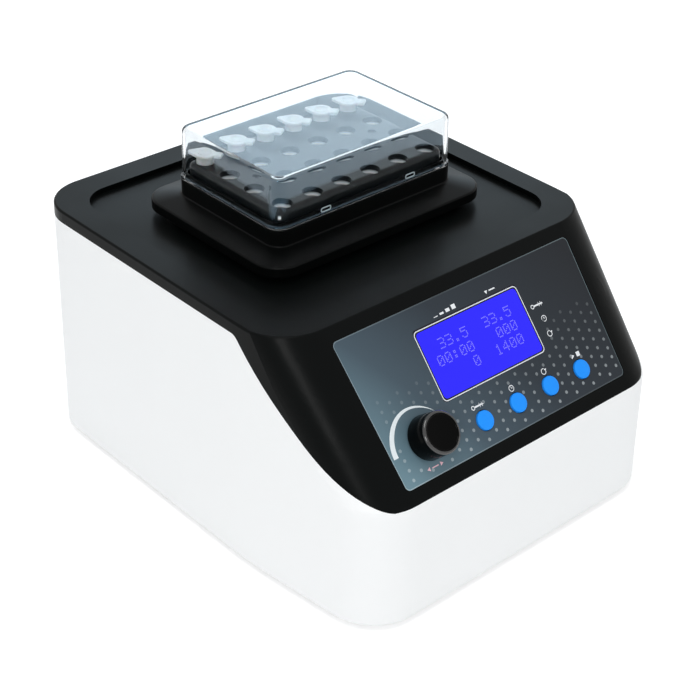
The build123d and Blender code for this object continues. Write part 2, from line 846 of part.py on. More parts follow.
# Three idler cranks that keep the table from turning
for i, (x, y) in enumerate(idler_spots, 1):
    with BuildPart() as idler_crank:
        with BuildSketch(Plane.XY.offset(frame_z - bearing_width)):
            with Locations((x, y)):
                Circle(idler_pin_radius)
        extrude(amount=crank_z - frame_z + bearing_width)
        with BuildSketch(Plane.XY.offset(crank_z)):
            with Locations((x, y)):
                Circle(idler_radius)
        extrude(amount=crank_thickness)
        with BuildSketch(Plane.XY.offset(crank_z + crank_thickness)):
            with Locations((x, y + orbit_radius)):
                Circle(idler_pin_radius)
        extrude(amount=pin_top - crank_z - crank_thickness)
    finish(idler_crank.part, f"idler_crank_{i}")

# Moving table with its bearings
table_spots = [(x, y + orbit_radius) for x, y in idler_spots]
with BuildPart() as platform_plate:
    with BuildSketch(Plane.XY.offset(table_z - table_thickness)):
        with Locations(block_centre):
            RectangleRounded(table_size[0], table_size[1], 8)
            Circle(bearing_radius, mode=Mode.SUBTRACT)
        with Locations(*table_spots):
            Circle(idler_bearing_radius, mode=Mode.SUBTRACT)
    extrude(amount=table_thickness)
finish(platform_plate.part, "platform_plate")

with BuildPart() as platform_bearings:
    with BuildSketch(Plane.XY.offset(table_z - table_thickness)):
        with Locations(block_centre):
            Circle(bearing_radius)
            Circle(crank_pin_radius + running_gap, mode=Mode.SUBTRACT)
        with Locations(*table_spots):
            Circle(idler_bearing_radius)
            Circle(idler_pin_radius + running_gap, mode=Mode.SUBTRACT)
    extrude(amount=table_thickness)
finish(platform_bearings.part, "platform_bearings")

# Finned heat sink that stands on the table
with BuildPart() as heat_sink:
    add(rounded_slab(block_size, 3, sink_top - sink_base, sink_base, block_centre))
    fin_height = sink_top - sink_base - table_z
    with BuildSketch(Plane.XY.offset(table_z)):
        with Locations(block_centre):
            with GridLocations(0, (block_size[1] - fin_thickness - 1) / (fin_count - 1), 1, fin_count):
                Rectangle(block_size[0] - 6, fin_thickness)
    extrude(amount=fin_height + 0.5)
finish(heat_sink.part, "heat_sink")

with BuildPart() as peltier_modules:
    with BuildSketch(Plane.XY.offset(sink_top)):
        with Locations(block_centre):
            with GridLocations(heater_size + 12, 0, 2, 1):
                Rectangle(heater_size, heater_size)
    extrude(amount=heater_thickness)
finish(peltier_modules.part, "peltier_modules")

# Insulating jacket round the block, which carries the shroud
jacket_inner = (block_size[0] + 2 * jacket_gap, block_size[1] + 2 * jacket_gap)
jacket_outer = (jacket_inner[0] + 2 * jacket_wall, jacket_inner[1] + 2 * jacket_wall)
with BuildPart() as block_jacket:
    add(rounded_slab(jacket_outer, block_corner + jacket_wall, sink_top, jacket_top - sink_top, block_centre))
    add(
        rounded_slab(jacket_inner, block_corner + jacket_gap, sink_top, jacket_top - sink_top, block_centre),
        mode=Mode.SUBTRACT,
    )
finish(block_jacket.part, "block_jacket")

# Heating block with its wells, screw holes and sensor bore
block_base = block_top - block_height
screw_spots = [(sx * well_pitch_x, block_y + sy * well_pitch_y) for sx, sy in ((-2, 0), (2, 0))]
sensor_x = well_pitch_x / 2
with BuildPart() as heating_block:
    add(rounded_slab(block_size, block_corner, block_base, block_height, block_centre))
    fillet(heating_block.edges().group_by(Axis.Z)[-1], block_edge)
    with BuildSketch(Plane.XY.offset(block_top)):
        with Locations(block_centre):
            with GridLocations(well_pitch_x, well_pitch_y, well_columns, well_rows):
                Circle(well_radius)
    extrude(amount=-well_depth, mode=Mode.SUBTRACT)
    with BuildSketch(Plane.XY.offset(block_top)):
        with Locations(*screw_spots):
            Circle(2.6)
    extrude(amount=-4, mode=Mode.SUBTRACT)
    with BuildSketch(Plane.XY.offset(block_top)):
        with Locations(*screw_spots):
            Circle(1.5)
    extrude(amount=-block_height, mode=Mode.SUBTRACT)
    with BuildSketch(Plane.XZ.offset(-block_y - block_size[1] / 2)):
        with Locations((sensor_x, block_base + 2.5)):
            Circle(1.5)
    extrude(amount=30, mode=Mode.SUBTRACT)
finish(heating_block.part, "heating_block")

with BuildPart() as block_screws:
    with BuildSketch(Plane.XY.offset(block_top - 4)):
        with Locations(*screw_spots):
            Circle(2.5)
            RegularPolygon(1.3, 6, mode=Mode.SUBTRACT)
    extrude(amount=3)
    with BuildSketch(Plane.XY.offset(block_top - 4)):
        with Locations(*screw_spots):
            Circle(1.4)
    extrude(amount=4 - block_height)
finish(block_screws.part, "block_screws")

with BuildPart() as temperature_sensor:
    with BuildSketch(Plane.XZ.offset(-block_y - block_size[1] / 2)):
        with Locations((sensor_x, block_base + 2.5)):
            Circle(1.4)
    extrude(amount=28)
finish(temperature_sensor.part, "temperature_sensor")

# Shroud: sloping flange over the tray, upright collar and the lip that locates the lid
lip_size = (lid_size[0] - 2 * (lid_wall + fit_gap), lid_size[1] - 2 * (lid_wall + fit_gap))
bore_size = (block_size[0] + 1.2, block_size[1] + 1.2)
shroud_base = tray_z + shroud_gap
collar_size = (lid_size[0] + 2 * rim_bead, lid_size[1] + 2 * rim_bead)
collar_corner = lid_corner + rim_bead
with BuildPart() as block_shroud:
    add(rounded_slab(shroud_size, shroud_corner, shroud_base, shroud_edge_z - shroud_base, block_centre))
    with BuildSketch(Plane.XY.offset(shroud_edge_z)):
        with Locations(block_centre):
            RectangleRounded(*shroud_size, shroud_corner)
    with BuildSketch(Plane.XY.offset(shroud_slope_top)):
        with Locations(block_centre):
            RectangleRounded(*collar_size, collar_corner)
    loft(ruled=True)
    collar_height = collar_top - shroud_slope_top + 1
    add(rounded_slab(collar_size, collar_corner, shroud_slope_top - 1, collar_height, block_centre))
    lip_corner = lid_corner - lid_wall - fit_gap
    add(rounded_slab(lip_size, lip_corner, collar_top - 2, locating_lip + 2, block_centre))
    hollow = (shroud_size[0] - 2 * shroud_wall, shroud_size[1] - 2 * shroud_wall)
    add(
        rounded_slab(hollow, shroud_corner - shroud_wall, shroud_base, shroud_edge_z - shroud_wall - shroud_base,
                     block_centre),
        mode=Mode.SUBTRACT,
    )
    jacket_hole = (jacket_outer[0] + 2 * jacket_gap, jacket_outer[1] + 2 * jacket_gap)
    add(
        rounded_slab(jacket_hole, block_corner + jacket_wall + jacket_gap, shroud_base, jacket_top - shroud_base,
                     block_centre),
        mode=Mode.SUBTRACT,
    )
    add(
        rounded_slab(bore_size, block_corner, shroud_base, 2 * block_height, block_centre),
        mode=Mode.SUBTRACT,
    )
finish(block_shroud.part, "block_shroud")

# Clear lid: drafted box with rounded corners, rim bead and two moulded catches at the front
catch_spots = (-30.5, 30.5)
with BuildPart() as lid:
    with BuildSketch(Plane.XY.offset(lid_z)):
        with Locations(block_centre):
            RectangleRounded(*lid_size, lid_corner)
    extrude(amount=lid_height, taper=lid_draft)
    fillet(lid.edges().group_by(Axis.Z)[-1], lid_edge)
    with BuildSketch(Plane.XY.offset(lid_z)):
        with Locations(block_centre):
            RectangleRounded(lid_size[0] - 2 * lid_wall, lid_size[1] - 2 * lid_wall, lid_corner - lid_wall)
    extrude(amount=lid_height - lid_wall, taper=lid_draft, mode=Mode.SUBTRACT)
    with BuildSketch(Plane.XY.offset(lid_z)):
        with Locations(block_centre):
            RectangleRounded(*collar_size, collar_corner)
            RectangleRounded(
                lid_size[0] - 2 * lid_wall, lid_size[1] - 2 * lid_wall, lid_corner - lid_wall, mode=Mode.SUBTRACT
            )
    extrude(amount=1.0)
    with BuildSketch(Plane.XZ.offset(-block_y + lid_size[1] / 2 + 0.5)):
        for x in catch_spots:
            with Locations((x, lid_z + 2.9)):
                RectangleRounded(6.4, 2.2, 0.6)
    extrude(amount=-1.5)
finish(lid.part, "lid")

# Capped microtubes in the rear row of wells
tube_row_y = block_y + well_pitch_y * (well_rows - 1) / 2
for i in range(well_columns):
    tube_x = (i - (well_columns - 1) / 2) * well_pitch_x
    with BuildPart() as sample_tube:
        with BuildSketch(Plane.XZ) as half:
            with BuildLine():
                Polyline(
                    (0, block_top - tube_length),
                    (1.8, block_top - tube_length),
                    (tube_radius - 0.4, block_top - tube_length + 18),
                    (tube_radius - 0.3, block_top - 1.0),
                    (tube_radius - 0.3, block_top + 0.2),
                    (cap_radius - 0.4, block_top + 0.2),
                    (cap_radius - 0.4, block_top + 1.6),
                    (cap_radius, block_top + 1.8),
                    (cap_radius, block_top + 3.6),
                    (cap_radius - 0.5, block_top + 4.1),
                    (0, block_top + 4.1),
                    close=True,
                )
            make_face()
        revolve(axis=Axis.Z)
        with BuildSketch(Plane.XY.offset(block_top + 2.0)):
            with Locations((0, -cap_radius - 1.0)):
                RectangleRounded(6.0, 5.0, 1.5)
            with Locations((0, cap_radius + 0.2)):
                Rectangle(4.0, 3.2)
        extrude(amount=1.4)
    finish(sample_tube.part.moved(Location((tube_x, tube_row_y, 0))), f"sample_tube_{i + 1}")

# Mains inlet in the sunk rear panel
inlet_plane = Plane(origin=(inlet_x, back_y - rear_depth, rear_z), x_dir=(-1, 0, 0), z_dir=(0, 1, 0))
with BuildPart() as inlet_socket:
    with BuildSketch(inlet_plane):
        RectangleRounded(31.0, 24.4, 1.5)
    extrude(amount=2.4)
    with BuildSketch(inlet_plane):
        Rectangle(inlet_cut[0] - fit_gap, inlet_cut[1] - fit_gap)
    extrude(amount=-20.0)
    with BuildSketch(inlet_plane.offset(2.4)) as cavity:
        Rectangle(24.4, 16.6)
        chamfer(cavity.vertices().group_by(Axis.Y)[-1], 4.2)
    extrude(amount=-17.0, mode=Mode.SUBTRACT)
finish(inlet_socket.part, "inlet_socket")

with BuildPart() as inlet_pins:
    with BuildSketch(inlet_plane.offset(-14.6)):
        with Locations((-7.0, -1.6), (7.0, -1.6), (0, 2.4)):
            Rectangle(2.0, 4.0)
    extrude(amount=12.0)
finish(inlet_pins.part, "inlet_pins")

# Power switch: frame and rocker, which rests tilted to the on side on its two pivot pins
switch_plane = Plane(origin=(switch_x, back_y - rear_depth, rear_z), x_dir=(-1, 0, 0), z_dir=(0, 1, 0))
rocker_size = (9.6, 15.6)
rocker_pivot = -1.0
pivot_radius = 1.5
pivot_length = 11.8
pivot_plane = Plane(
    origin=(switch_x - pivot_length / 2, back_y - rear_depth + rocker_pivot, rear_z),
    x_dir=(0, 1, 0),
    z_dir=(1, 0, 0),
)
with BuildPart() as switch_body:
    with BuildSketch(switch_plane):
        RectangleRounded(15.0, 21.0, 1.0)
    extrude(amount=1.8)
    with BuildSketch(switch_plane):
        Rectangle(switch_cut[0] - fit_gap, switch_cut[1] - fit_gap)
    extrude(amount=-14.0)
    with BuildSketch(switch_plane.offset(1.8)):
        Rectangle(rocker_size[0] + 1.0, rocker_size[1] + 1.4)
    extrude(amount=-9.0, mode=Mode.SUBTRACT)
    with BuildSketch(pivot_plane.offset(-lip_gap)):
        Circle(pivot_radius + running_gap)
    extrude(amount=pivot_length + 2 * lip_gap, mode=Mode.SUBTRACT)
finish(switch_body.part, "switch_body")

rocker_plane = switch_plane.offset(rocker_pivot).rotated((rocker_tilt, 0, 0))
with BuildPart() as switch_rocker:
    with BuildSketch(rocker_plane.offset(-3.0)):
        Rectangle(rocker_size[0], 9.0)
    with BuildSketch(rocker_plane.offset(2.6)):
        Rectangle(rocker_size[0], rocker_size[1])
    loft()
    with BuildSketch(pivot_plane):
        Circle(pivot_radius)
    extrude(amount=pivot_length)
finish(switch_rocker.part, "switch_rocker")

# Cooling fan on the rear wall
fan_y = back_y - wall
fan_plane = Plane(origin=(fan_x, fan_y, fan_z), x_dir=(1, 0, 0), z_dir=(0, -1, 0))
fan_bore = 27.5
hub_radius = 12.0
blade_count = 7
with BuildPart() as fan_frame:
    with BuildSketch(fan_plane):
        RectangleRounded(fan_size, fan_size, 3)
        Circle(fan_bore, mode=Mode.SUBTRACT)
        with GridLocations(fan_hole_pitch, fan_hole_pitch, 2, 2):
            Circle(screw_radius, mode=Mode.SUBTRACT)
    extrude(amount=fan_depth)
    with BuildSketch(fan_plane):
        Circle(hub_radius + 1)
        Rectangle(2 * fan_bore + 1, 3)
        Rectangle(3, 2 * fan_bore + 1)
    extrude(amount=2.0)
    with BuildSketch(fan_plane):
        Circle(1.5 + running_gap)
    extrude(amount=2.0, mode=Mode.SUBTRACT)
finish(fan_frame.part, "fan_frame")

blade_plane = Plane(origin=fan_plane.origin, x_dir=(0, 0, 1), z_dir=(1, 0, 0))
with BuildPart() as fan_blade:
    for radius, pitch in ((hub_radius - 1, 38), ((hub_radius + fan_bore) / 2, 30), (fan_bore - 1, 22)):
        with BuildSketch(blade_plane.offset(radius)):
            with Locations((0, 8.0)):
                Rectangle(11.0, 1.2, rotation=pitch)
    loft()
with BuildPart() as fan_rotor:
    with BuildSketch(fan_plane.offset(2.4)):
        Circle(hub_radius)
    extrude(amount=11.0)
    with BuildSketch(fan_plane.offset(0.2)):
        Circle(1.5)
    extrude(amount=3.0)
    for i in range(blade_count):
        add(fan_blade.part.rotate(Axis(fan_plane.origin, fan_plane.z_dir), i * 360 / blade_count))
finish(fan_rotor.part, "fan_rotor")

with BuildPart() as fan_screws:
    with BuildSketch(rear_plane):
        with Locations((-fan_x, fan_z)):
            with GridLocations(fan_hole_pitch, fan_hole_pitch, 2, 2):
                Circle(screw_radius)
    extrude(amount=-wall - 10)
    with BuildSketch(rear_plane.offset(-0.8)):
        with Locations((-fan_x, fan_z)):
            with GridLocations(fan_hole_pitch, fan_hole_pitch, 2, 2):
                Circle(screw_head_radius)
    extrude(amount=0.8)
finish(fan_screws.part, "fan_screws")

# Electronics on the chassis plate, in the front of the housing
supply_size = (94.0, 50.0, 30.0)
supply_centre = (-30.0, front_y + 66)
with BuildPart() as power_supply:
    with BuildSketch(Plane.XY.offset(chassis_top)):
        with Locations(supply_centre):
            Rectangle(supply_size[0], supply_size[1])
    extrude(amount=supply_size[2])
    fillet(power_supply.edges().filter_by(Axis.X).group_by(Axis.Z)[-1], 1.5)
    with BuildSketch(Plane.XY.offset(chassis_top + supply_size[2])):
        with Locations(supply_centre):
            with GridLocations(10.0, 0, 8, 1):
                SlotOverall(34.0, 3.0, rotation=90)
    extrude(amount=-1.5, mode=Mode.SUBTRACT)
finish(power_supply.part, "power_supply")

with BuildPart() as main_board:
    with BuildSketch(Plane.XY.offset(main_board_z)):
        with Locations(main_board_centre):
            Rectangle(*main_board_size)
            with GridLocations(*standoff_pitch, 2, 2):
                Circle(standoff_pin + lip_gap, mode=Mode.SUBTRACT)
    extrude(amount=board_thickness)
    with BuildSketch(Plane.XY.offset(main_board_z + board_thickness)):
        with Locations((main_board_centre[0], main_board_centre[1] + 20)):
            Rectangle(44, 8)
        with Locations((main_board_centre[0] - 8, main_board_centre[1] - 6)):
            Rectangle(16, 16)
    extrude(amount=5)
finish(main_board.part, "main_board")
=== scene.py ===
# Bench thermal mixer on white paper. Lengths in the tables are millimetres, but metres for lamps and floor.
import json
import math

import bpy
import numpy as np
from mathutils import Matrix


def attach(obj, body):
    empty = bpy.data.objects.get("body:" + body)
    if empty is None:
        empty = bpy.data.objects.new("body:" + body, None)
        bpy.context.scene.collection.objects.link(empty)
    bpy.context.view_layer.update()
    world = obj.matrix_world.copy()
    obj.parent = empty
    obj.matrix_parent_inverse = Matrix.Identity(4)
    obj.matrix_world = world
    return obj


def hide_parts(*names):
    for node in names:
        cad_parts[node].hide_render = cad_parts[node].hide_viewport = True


mm = 0.001
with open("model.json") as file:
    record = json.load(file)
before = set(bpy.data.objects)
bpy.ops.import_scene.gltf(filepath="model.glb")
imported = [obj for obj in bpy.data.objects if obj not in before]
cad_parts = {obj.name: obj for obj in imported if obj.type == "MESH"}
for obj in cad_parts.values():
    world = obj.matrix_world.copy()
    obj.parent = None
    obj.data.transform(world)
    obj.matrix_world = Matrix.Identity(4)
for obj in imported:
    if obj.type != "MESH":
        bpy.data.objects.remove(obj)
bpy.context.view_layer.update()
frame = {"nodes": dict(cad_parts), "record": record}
nodes = frame["nodes"]
print("frame loaded:", len(nodes), "nodes")


# Colours, nodes and materials

def linear(hexColour):
    # sRGB hex to linear: each channel below 0.04045 is divided by 12.92, the rest follow the 2.4 power curve
    values = np.array([int(hexColour[i:i + 2], 16) for i in (1, 3, 5)]) / 255
    low, high = values / 12.92, ((values + 0.055) / 1.055) ** 2.4
    return (*np.where(values <= 0.04045, low, high).tolist(), 1.0)


def addNode(tree, kind, settings=None, links=None):
    # Adds one node, sets its properties or unlinked sockets, and links sockets by name or number
    node = tree.nodes.new(kind)
    for key, value in (settings or {}).items():
        if isinstance(key, str) and hasattr(node, key):
            setattr(node, key, value)
        else:
            node.inputs[key].default_value = value
    for key, source in (links or {}).items():
        tree.links.new(source, node.inputs[key])
    return node


def newMaterial(name, colour, roughness, **sockets):
    # A principled surface with its plain values on its own sockets
    material = bpy.data.materials.new(name)
    material.use_nodes = True
    surface = material.node_tree.nodes["Principled BSDF"]
    surface.inputs["Base Color"].default_value = linear(colour)
    surface.inputs["Roughness"].default_value = roughness
    for key, value in sockets.items():
        surface.inputs[key.replace("_", " ")].default_value = value
    material.diffuse_color = linear(colour)
    return material


def objectPlace(tree):
    # The point on the surface in the object's own metres
    return addNode(tree, "ShaderNodeTexCoord").outputs["Object"]


def grainBump(material, grainMm, strength, depthMm=0.05):
    # Fine moulded grain: noise on object coordinates, one grain to a bump, pushed into the normal
    tree = material.node_tree
    noise = addNode(tree, "ShaderNodeTexNoise", {"Scale": 1 / (grainMm * mm), "Detail": 2.0},
                    {"Vector": objectPlace(tree)})
    bump = addNode(tree, "ShaderNodeBump", {"Strength": strength, "Distance": depthMm * mm},
                   {"Height": noise.outputs[0]})
    tree.links.new(bump.outputs[0], tree.nodes["Principled BSDF"].inputs["Normal"])
    return material


def roughnessMottle(material, patchMm, low, high):
    # Handling and mould polish: roughness wanders slowly between low and high over patches of that size
    tree = material.node_tree
    noise = addNode(tree, "ShaderNodeTexNoise", {"Scale": 1 / (patchMm * mm), "Detail": 3.0},
                    {"Vector": objectPlace(tree)})
    # the noise seldom leaves the middle third of its range, so that third is stretched over the spread
    spread = addNode(tree, "ShaderNodeMapRange",
                     {"From Min": 0.35, "From Max": 0.65, "To Min": low, "To Max": high},
                     {"Value": noise.outputs[0]})
    tree.links.new(spread.outputs[0], tree.nodes["Principled BSDF"].inputs["Roughness"])
    return material


def fillRamp(ramp, colours):
    # Sets a ramp's colours at their places: its own two stops take the first two, which are its ends
    stops = ramp.color_ramp.elements
    for i, (place, colour) in enumerate(colours):
        stop = stops[i] if i < 2 else stops.new(place)
        stop.position = place
        stop.color = linear(colour)


def colourAlong(material, direction, start, end, colours):
    # Base colour as a ramp along a direction: the point's dot product with it, from start to end in metres
    tree = material.node_tree
    along = addNode(tree, "ShaderNodeVectorMath", {"operation": "DOT_PRODUCT", 1: tuple(direction)},
                    {0: objectPlace(tree)})
    share = addNode(tree, "ShaderNodeMapRange", {"From Min": start, "From Max": end},
                    {"Value": along.outputs["Value"]})
    ramp = addNode(tree, "ShaderNodeValToRGB", {}, {"Fac": share.outputs[0]})
    fillRamp(ramp, colours)
    tree.links.new(ramp.outputs[0], tree.nodes["Principled BSDF"].inputs["Base Color"])
    return material


def lit(material, colour, strength):
    # Light of the surface's own, as behind a display or a printed window
    surface = material.node_tree.nodes["Principled BSDF"]
    surface.inputs["Emission Color"].default_value = linear(colour)
    surface.inputs["Emission Strength"].default_value = strength
    return material


# The sloped panel's own axes: right, up the slope and out of it
panelValues = {"centre": (0.0, -104.804, 111.538), "slope": 48.7, "filmTop": -0.4}
slopeAngle = math.radians(panelValues["slope"])
panelRight = np.array([1.0, 0.0, 0.0])
panelUp = np.array([0.0, math.cos(slopeAngle), math.sin(slopeAngle)])
panelOut = np.array([0.0, -math.sin(slopeAngle), math.cos(slopeAngle)])
panelCentre = np.array(panelValues["centre"])

# ABS, moulded white with a fine satin grain: even, soft highlights down the rounded corners
whiteAbs = grainBump(newMaterial("whiteAbs", "#F0F2F3", 0.4, IOR=1.53), 0.6, 0.12)
roughnessMottle(whiteAbs, 60, 0.36, 0.44)
# ABS, moulded black with spark-eroded grain: broad soft highlights that lift the level faces
blackAbs = grainBump(newMaterial("blackAbs", "#050707", 0.34, Specular_IOR_Level=0.062), 0.7, 0.3)
roughnessMottle(blackAbs, 45, 0.3, 0.37)
# Polyamide, moulded black, finer than the deck: tighter highlights at its corners
blackShroud = grainBump(newMaterial("blackShroud", "#040505", 0.3, Specular_IOR_Level=0.065), 0.6, 0.12)
roughnessMottle(blackShroud, 30, 0.28, 0.36)
# Polycarbonate, clear and polished: bright thin rims, and a blue specular tint that is a painted blue cast on
# its reflections
clearPolycarbonate = newMaterial("clearPolycarbonate", "#EFF2F4", 0.02, IOR=1.42, Transmission_Weight=1.0,
                                 Specular_Tint=(0.4, 0.72, 1.0, 1.0))
# Pale opaque colour on the lid's clear catch ridges: a painted highlight where the ridges catch the light
paintedCatchHighlight = newMaterial("paintedCatchHighlight", "#AEBDC4", 0.4)
# Aluminium, bead blasted and anodised nearly black: a soft cold sheen on the top and round its rolled edge
darkAnodised = grainBump(newMaterial("darkAnodised", "#0C0F10", 0.33, Specular_IOR_Level=0.4), 0.5, 0.12)
# The block's top and the field of its wells, and the depths under the top between which the well walls'
# painted shade and painted highlight are drawn
wellValues = {"top": 177.2, "centre": (0.0, 32.869), "half": (58.2, 37.8), "from": 0.1, "to": 8.1,
              "glow": 0.14, "plain": "#121618"}
# Painted shade and a painted bright band down the well walls; the first two stops are the ramp's ends
wellLightColours = ((0.0, "#121618"), (1.0, "#121618"), (0.02, "#080A0B"), (0.36, "#0D1012"), (0.5, "#E4EEF3"),
               (0.61, "#FFFFFF"), (0.72, "#1C2124"))


def paintWellLight(material):
    # Inside the wells the wall carries painted light: painted shade under the rim, a painted highlight band
    # below it, then painted shade again.
    # Inside means nearer to the field's centre than its half size, along X and along Y
    tree = material.node_tree
    surface = tree.nodes["Principled BSDF"]
    place = addNode(tree, "ShaderNodeSeparateXYZ", {}, {0: objectPlace(tree)})
    near = []
    for axis, middle, half in zip("XY", wellValues["centre"], wellValues["half"]):
        shifted = addNode(tree, "ShaderNodeMath", {"operation": "SUBTRACT", 1: middle * mm},
                          {0: place.outputs[axis]})
        away = addNode(tree, "ShaderNodeMath", {"operation": "ABSOLUTE"}, {0: shifted.outputs[0]})
        near.append(addNode(tree, "ShaderNodeMath", {"operation": "LESS_THAN", 1: half * mm},
                            {0: away.outputs[0]}).outputs[0])
    inside = addNode(tree, "ShaderNodeMath", {"operation": "MULTIPLY"}, {0: near[0], 1: near[1]})
    depth = addNode(tree, "ShaderNodeMapRange", {"From Min": (wellValues["top"] - wellValues["from"]) * mm,
                                                 "From Max": (wellValues["top"] - wellValues["to"]) * mm},
                    {"Value": place.outputs["Z"]})
    ramp = addNode(tree, "ShaderNodeValToRGB", {}, {"Fac": depth.outputs[0]})
    fillRamp(ramp, wellLightColours)
    blend = addNode(tree, "ShaderNodeMix", {"data_type": "RGBA", 6: linear(wellValues["plain"])},
                    {0: inside.outputs[0], 7: ramp.outputs[0]})
    tree.links.new(blend.outputs[2], surface.inputs["Base Color"])
    # The same colours also glow a little, so the whole block, and most of all the painted band, lights itself
    tree.links.new(blend.outputs[2], surface.inputs["Emission Color"])
    surface.inputs["Emission Strength"].default_value = wellValues["glow"]
    return material


paintWellLight(darkAnodised)
# Polypropylene, natural: milky, a little light passes through
milkyPolypropylene = newMaterial("milkyPolypropylene", "#F1F4F5", 0.32, Subsurface_Weight=0.2,
                                 Specular_IOR_Level=0.3)
# Silicone, moulded bright blue: satin, so the caps stay one even blue
blueSilicone = grainBump(newMaterial("blueSilicone", "#1F93FF", 0.42, Specular_IOR_Level=0.15), 0.4, 0.08)
# ABS, black, polished mould: deep black with small sharp highlights
glossBlack = newMaterial("glossBlack", "#040404", 0.14, Specular_IOR_Level=0.045)
# ABS at the knob's rim, polished by fingers: it alone mirrors the lamps
polishedRim = newMaterial("polishedRim", "#050505", 0.16, Specular_IOR_Level=0.9)
# Polyester film, printed from behind: charcoal at the upper right, paler slate towards the lower left
panelFilm = grainBump(newMaterial("panelFilm", "#2A3037", 0.33, Specular_IOR_Level=0.22), 0.5, 0.05)
filmAway = panelRight * 0.80 + panelUp * 0.60
filmShift = float(filmAway @ panelCentre) * mm
filmReach = (filmShift - 0.090, filmShift + 0.085)
filmStops = ((0.0, "#6E8C98"), (1.0, "#171B21"), (0.28, "#42525D"), (0.55, "#283038"))
colourAlong(panelFilm, filmAway, *filmReach, filmStops)
# Liquid crystal lit from behind, under acrylic: an even bright blue of its own
litDisplay = lit(newMaterial("litDisplay", "#0A08A0", 0.18, Specular_IOR_Level=0.2), "#2A22FF", 0.8)
# The display's lit dots: pale lilac on the blue
litDots = lit(newMaterial("litDots", "#4A46C8", 0.4, Specular_IOR_Level=0.2), "#928EFF", 0.75)
# Ink, white, screen printed on the film: flat and a little soft
whiteInk = newMaterial("whiteInk", "#E6EAEE", 0.4)
# Aluminium, machined: light grey with soft metal highlights
machinedAluminium = newMaterial("machinedAluminium", "#B9BBBD", 0.35, Metallic=1.0)
# Steel, zinc plated: duller and a shade darker than the aluminium
zincSteel = newMaterial("zincSteel", "#A9ABAE", 0.38, Metallic=1.0)
# Steel, turned and ground: the brightest metal, with the sharpest highlights
groundSteel = newMaterial("groundSteel", "#C3C5C8", 0.22, Metallic=1.0)
# Enamel, baked black on the motor's can: near black with a broad sheen
motorPaint = newMaterial("motorPaint", "#1B1C1E", 0.45)
# Glass-fibre board under green lacquer: dark green with a clear gloss over it
greenBoard = newMaterial("greenBoard", "#0E4D2B", 0.35, Coat_Weight=0.4)
# Alumina, fired: chalky off-white
whiteCeramic = newMaterial("whiteCeramic", "#E4E3DF", 0.6)
# Nitrile rubber, moulded: dull black
blackRubber = grainBump(newMaterial("blackRubber", "#0C0C0C", 0.75), 0.8, 0.2)
# Polyamide of sockets and switches, fine moulded grain: dark and matt
blackPolyamide = grainBump(newMaterial("blackPolyamide", "#101112", 0.48), 0.5, 0.15)
# Brass, stamped: pale yellow pins that catch the light
brassPins = newMaterial("brassPins", "#C9B26A", 0.3, Metallic=1.0)

slotMaterials = {
    "white_housing": whiteAbs, "dark_cover": blackAbs, "shroud_black": blackShroud, "panel_film": panelFilm,
    "display_blue": litDisplay, "button_blue": blueSilicone, "knob_black": glossBlack,
    "lid_clear": clearPolycarbonate, "tube_clear": milkyPolypropylene, "block_aluminium": darkAnodised,
    "bare_aluminium": machinedAluminium, "jacket_foam": blackPolyamide, "steel": groundSteel,
    "zinc_plate": zincSteel, "bearing_steel": groundSteel, "motor_black": motorPaint,
    "board_green": greenBoard, "ceramic_white": whiteCeramic, "foot_rubber": blackRubber,
    "socket_black": blackPolyamide, "brass_pins": brassPins, "supply_steel": zincSteel,
}
slotOf = {entry["node"]: entry["material_slot"] for entry in frame["record"]["subparts"]}
for name, node in nodes.items():
    node.data.materials.clear()
    node.data.materials.append(slotMaterials[slotOf[name]])
print("materials set")


# Shapes as arrays of points in millimetres

def newPiece(name, points, faces, material, body, smooth=True):
    # Puts an array of points and its faces into a mesh and makes it ride on a body
    mesh = bpy.data.meshes.new(name)
    mesh.from_pydata((np.asarray(points, float) * mm).tolist(), [], faces)
    mesh.polygons.foreach_set("use_smooth", np.full(len(mesh.polygons), smooth))
    mesh.materials.append(material)
    mesh.update()
    piece = bpy.data.objects.new(name, mesh)
    bpy.context.scene.collection.objects.link(piece)
    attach(piece, body)
    return piece


def gridFaces(rows, columns, joinRows=False, first=0):
    # Quads between neighbouring rows of a grid whose columns run right round
    row = np.arange(rows if joinRows else rows - 1)[:, None]
    column = np.arange(columns)[None, :]
    below, above = row % rows * columns, (row + 1) % rows * columns
    after = (column + 1) % columns
    quads = np.stack([below + column, below + after, above + after, above + column], -1)
    return (quads.reshape(-1, 4) + first).tolist()


def roundedRings(size, corner, centre, profile, steps=10):
    # One ring per profile point: the rounded rectangle of that size, grown by the profile's first value,
    # at the height in its second value
    turn = np.linspace(0, math.pi / 2, steps + 1)
    angles = (np.arange(4)[:, None] * math.pi / 2 + turn[None, :]).reshape(-1)
    signX = np.repeat([1, -1, -1, 1], steps + 1)
    signY = np.repeat([1, 1, -1, -1], steps + 1)
    grow, height = np.asarray(profile, float).T
    radius = corner + grow[:, None]
    x = centre[0] + signX * (size[0] / 2 - corner) + radius * np.cos(angles)
    y = centre[1] + signY * (size[1] / 2 - corner) + radius * np.sin(angles)
    return np.stack([x, y, np.broadcast_to(height[:, None], x.shape)], -1)


def arc(centre, radius, startAngle, endAngle, steps):
    # Points of a circular arc in the profile's plane, angles in degrees
    angles = np.radians(np.linspace(startAngle, endAngle, steps + 1))
    return np.stack([centre[0] + radius * np.cos(angles), centre[1] + radius * np.sin(angles)], -1)


def turnedPoints(profile, origin, axes, steps=64):
    # Surface of revolution: each profile point (radius, height) goes round the third axis at the origin
    angles = np.linspace(0, 2 * math.pi, steps, endpoint=False)
    radius, height = np.asarray(profile, float).T
    right, up, out = axes
    circle = np.cos(angles)[:, None] * right + np.sin(angles)[:, None] * up
    return origin + radius[:, None, None] * circle[None] + height[:, None, None] * out


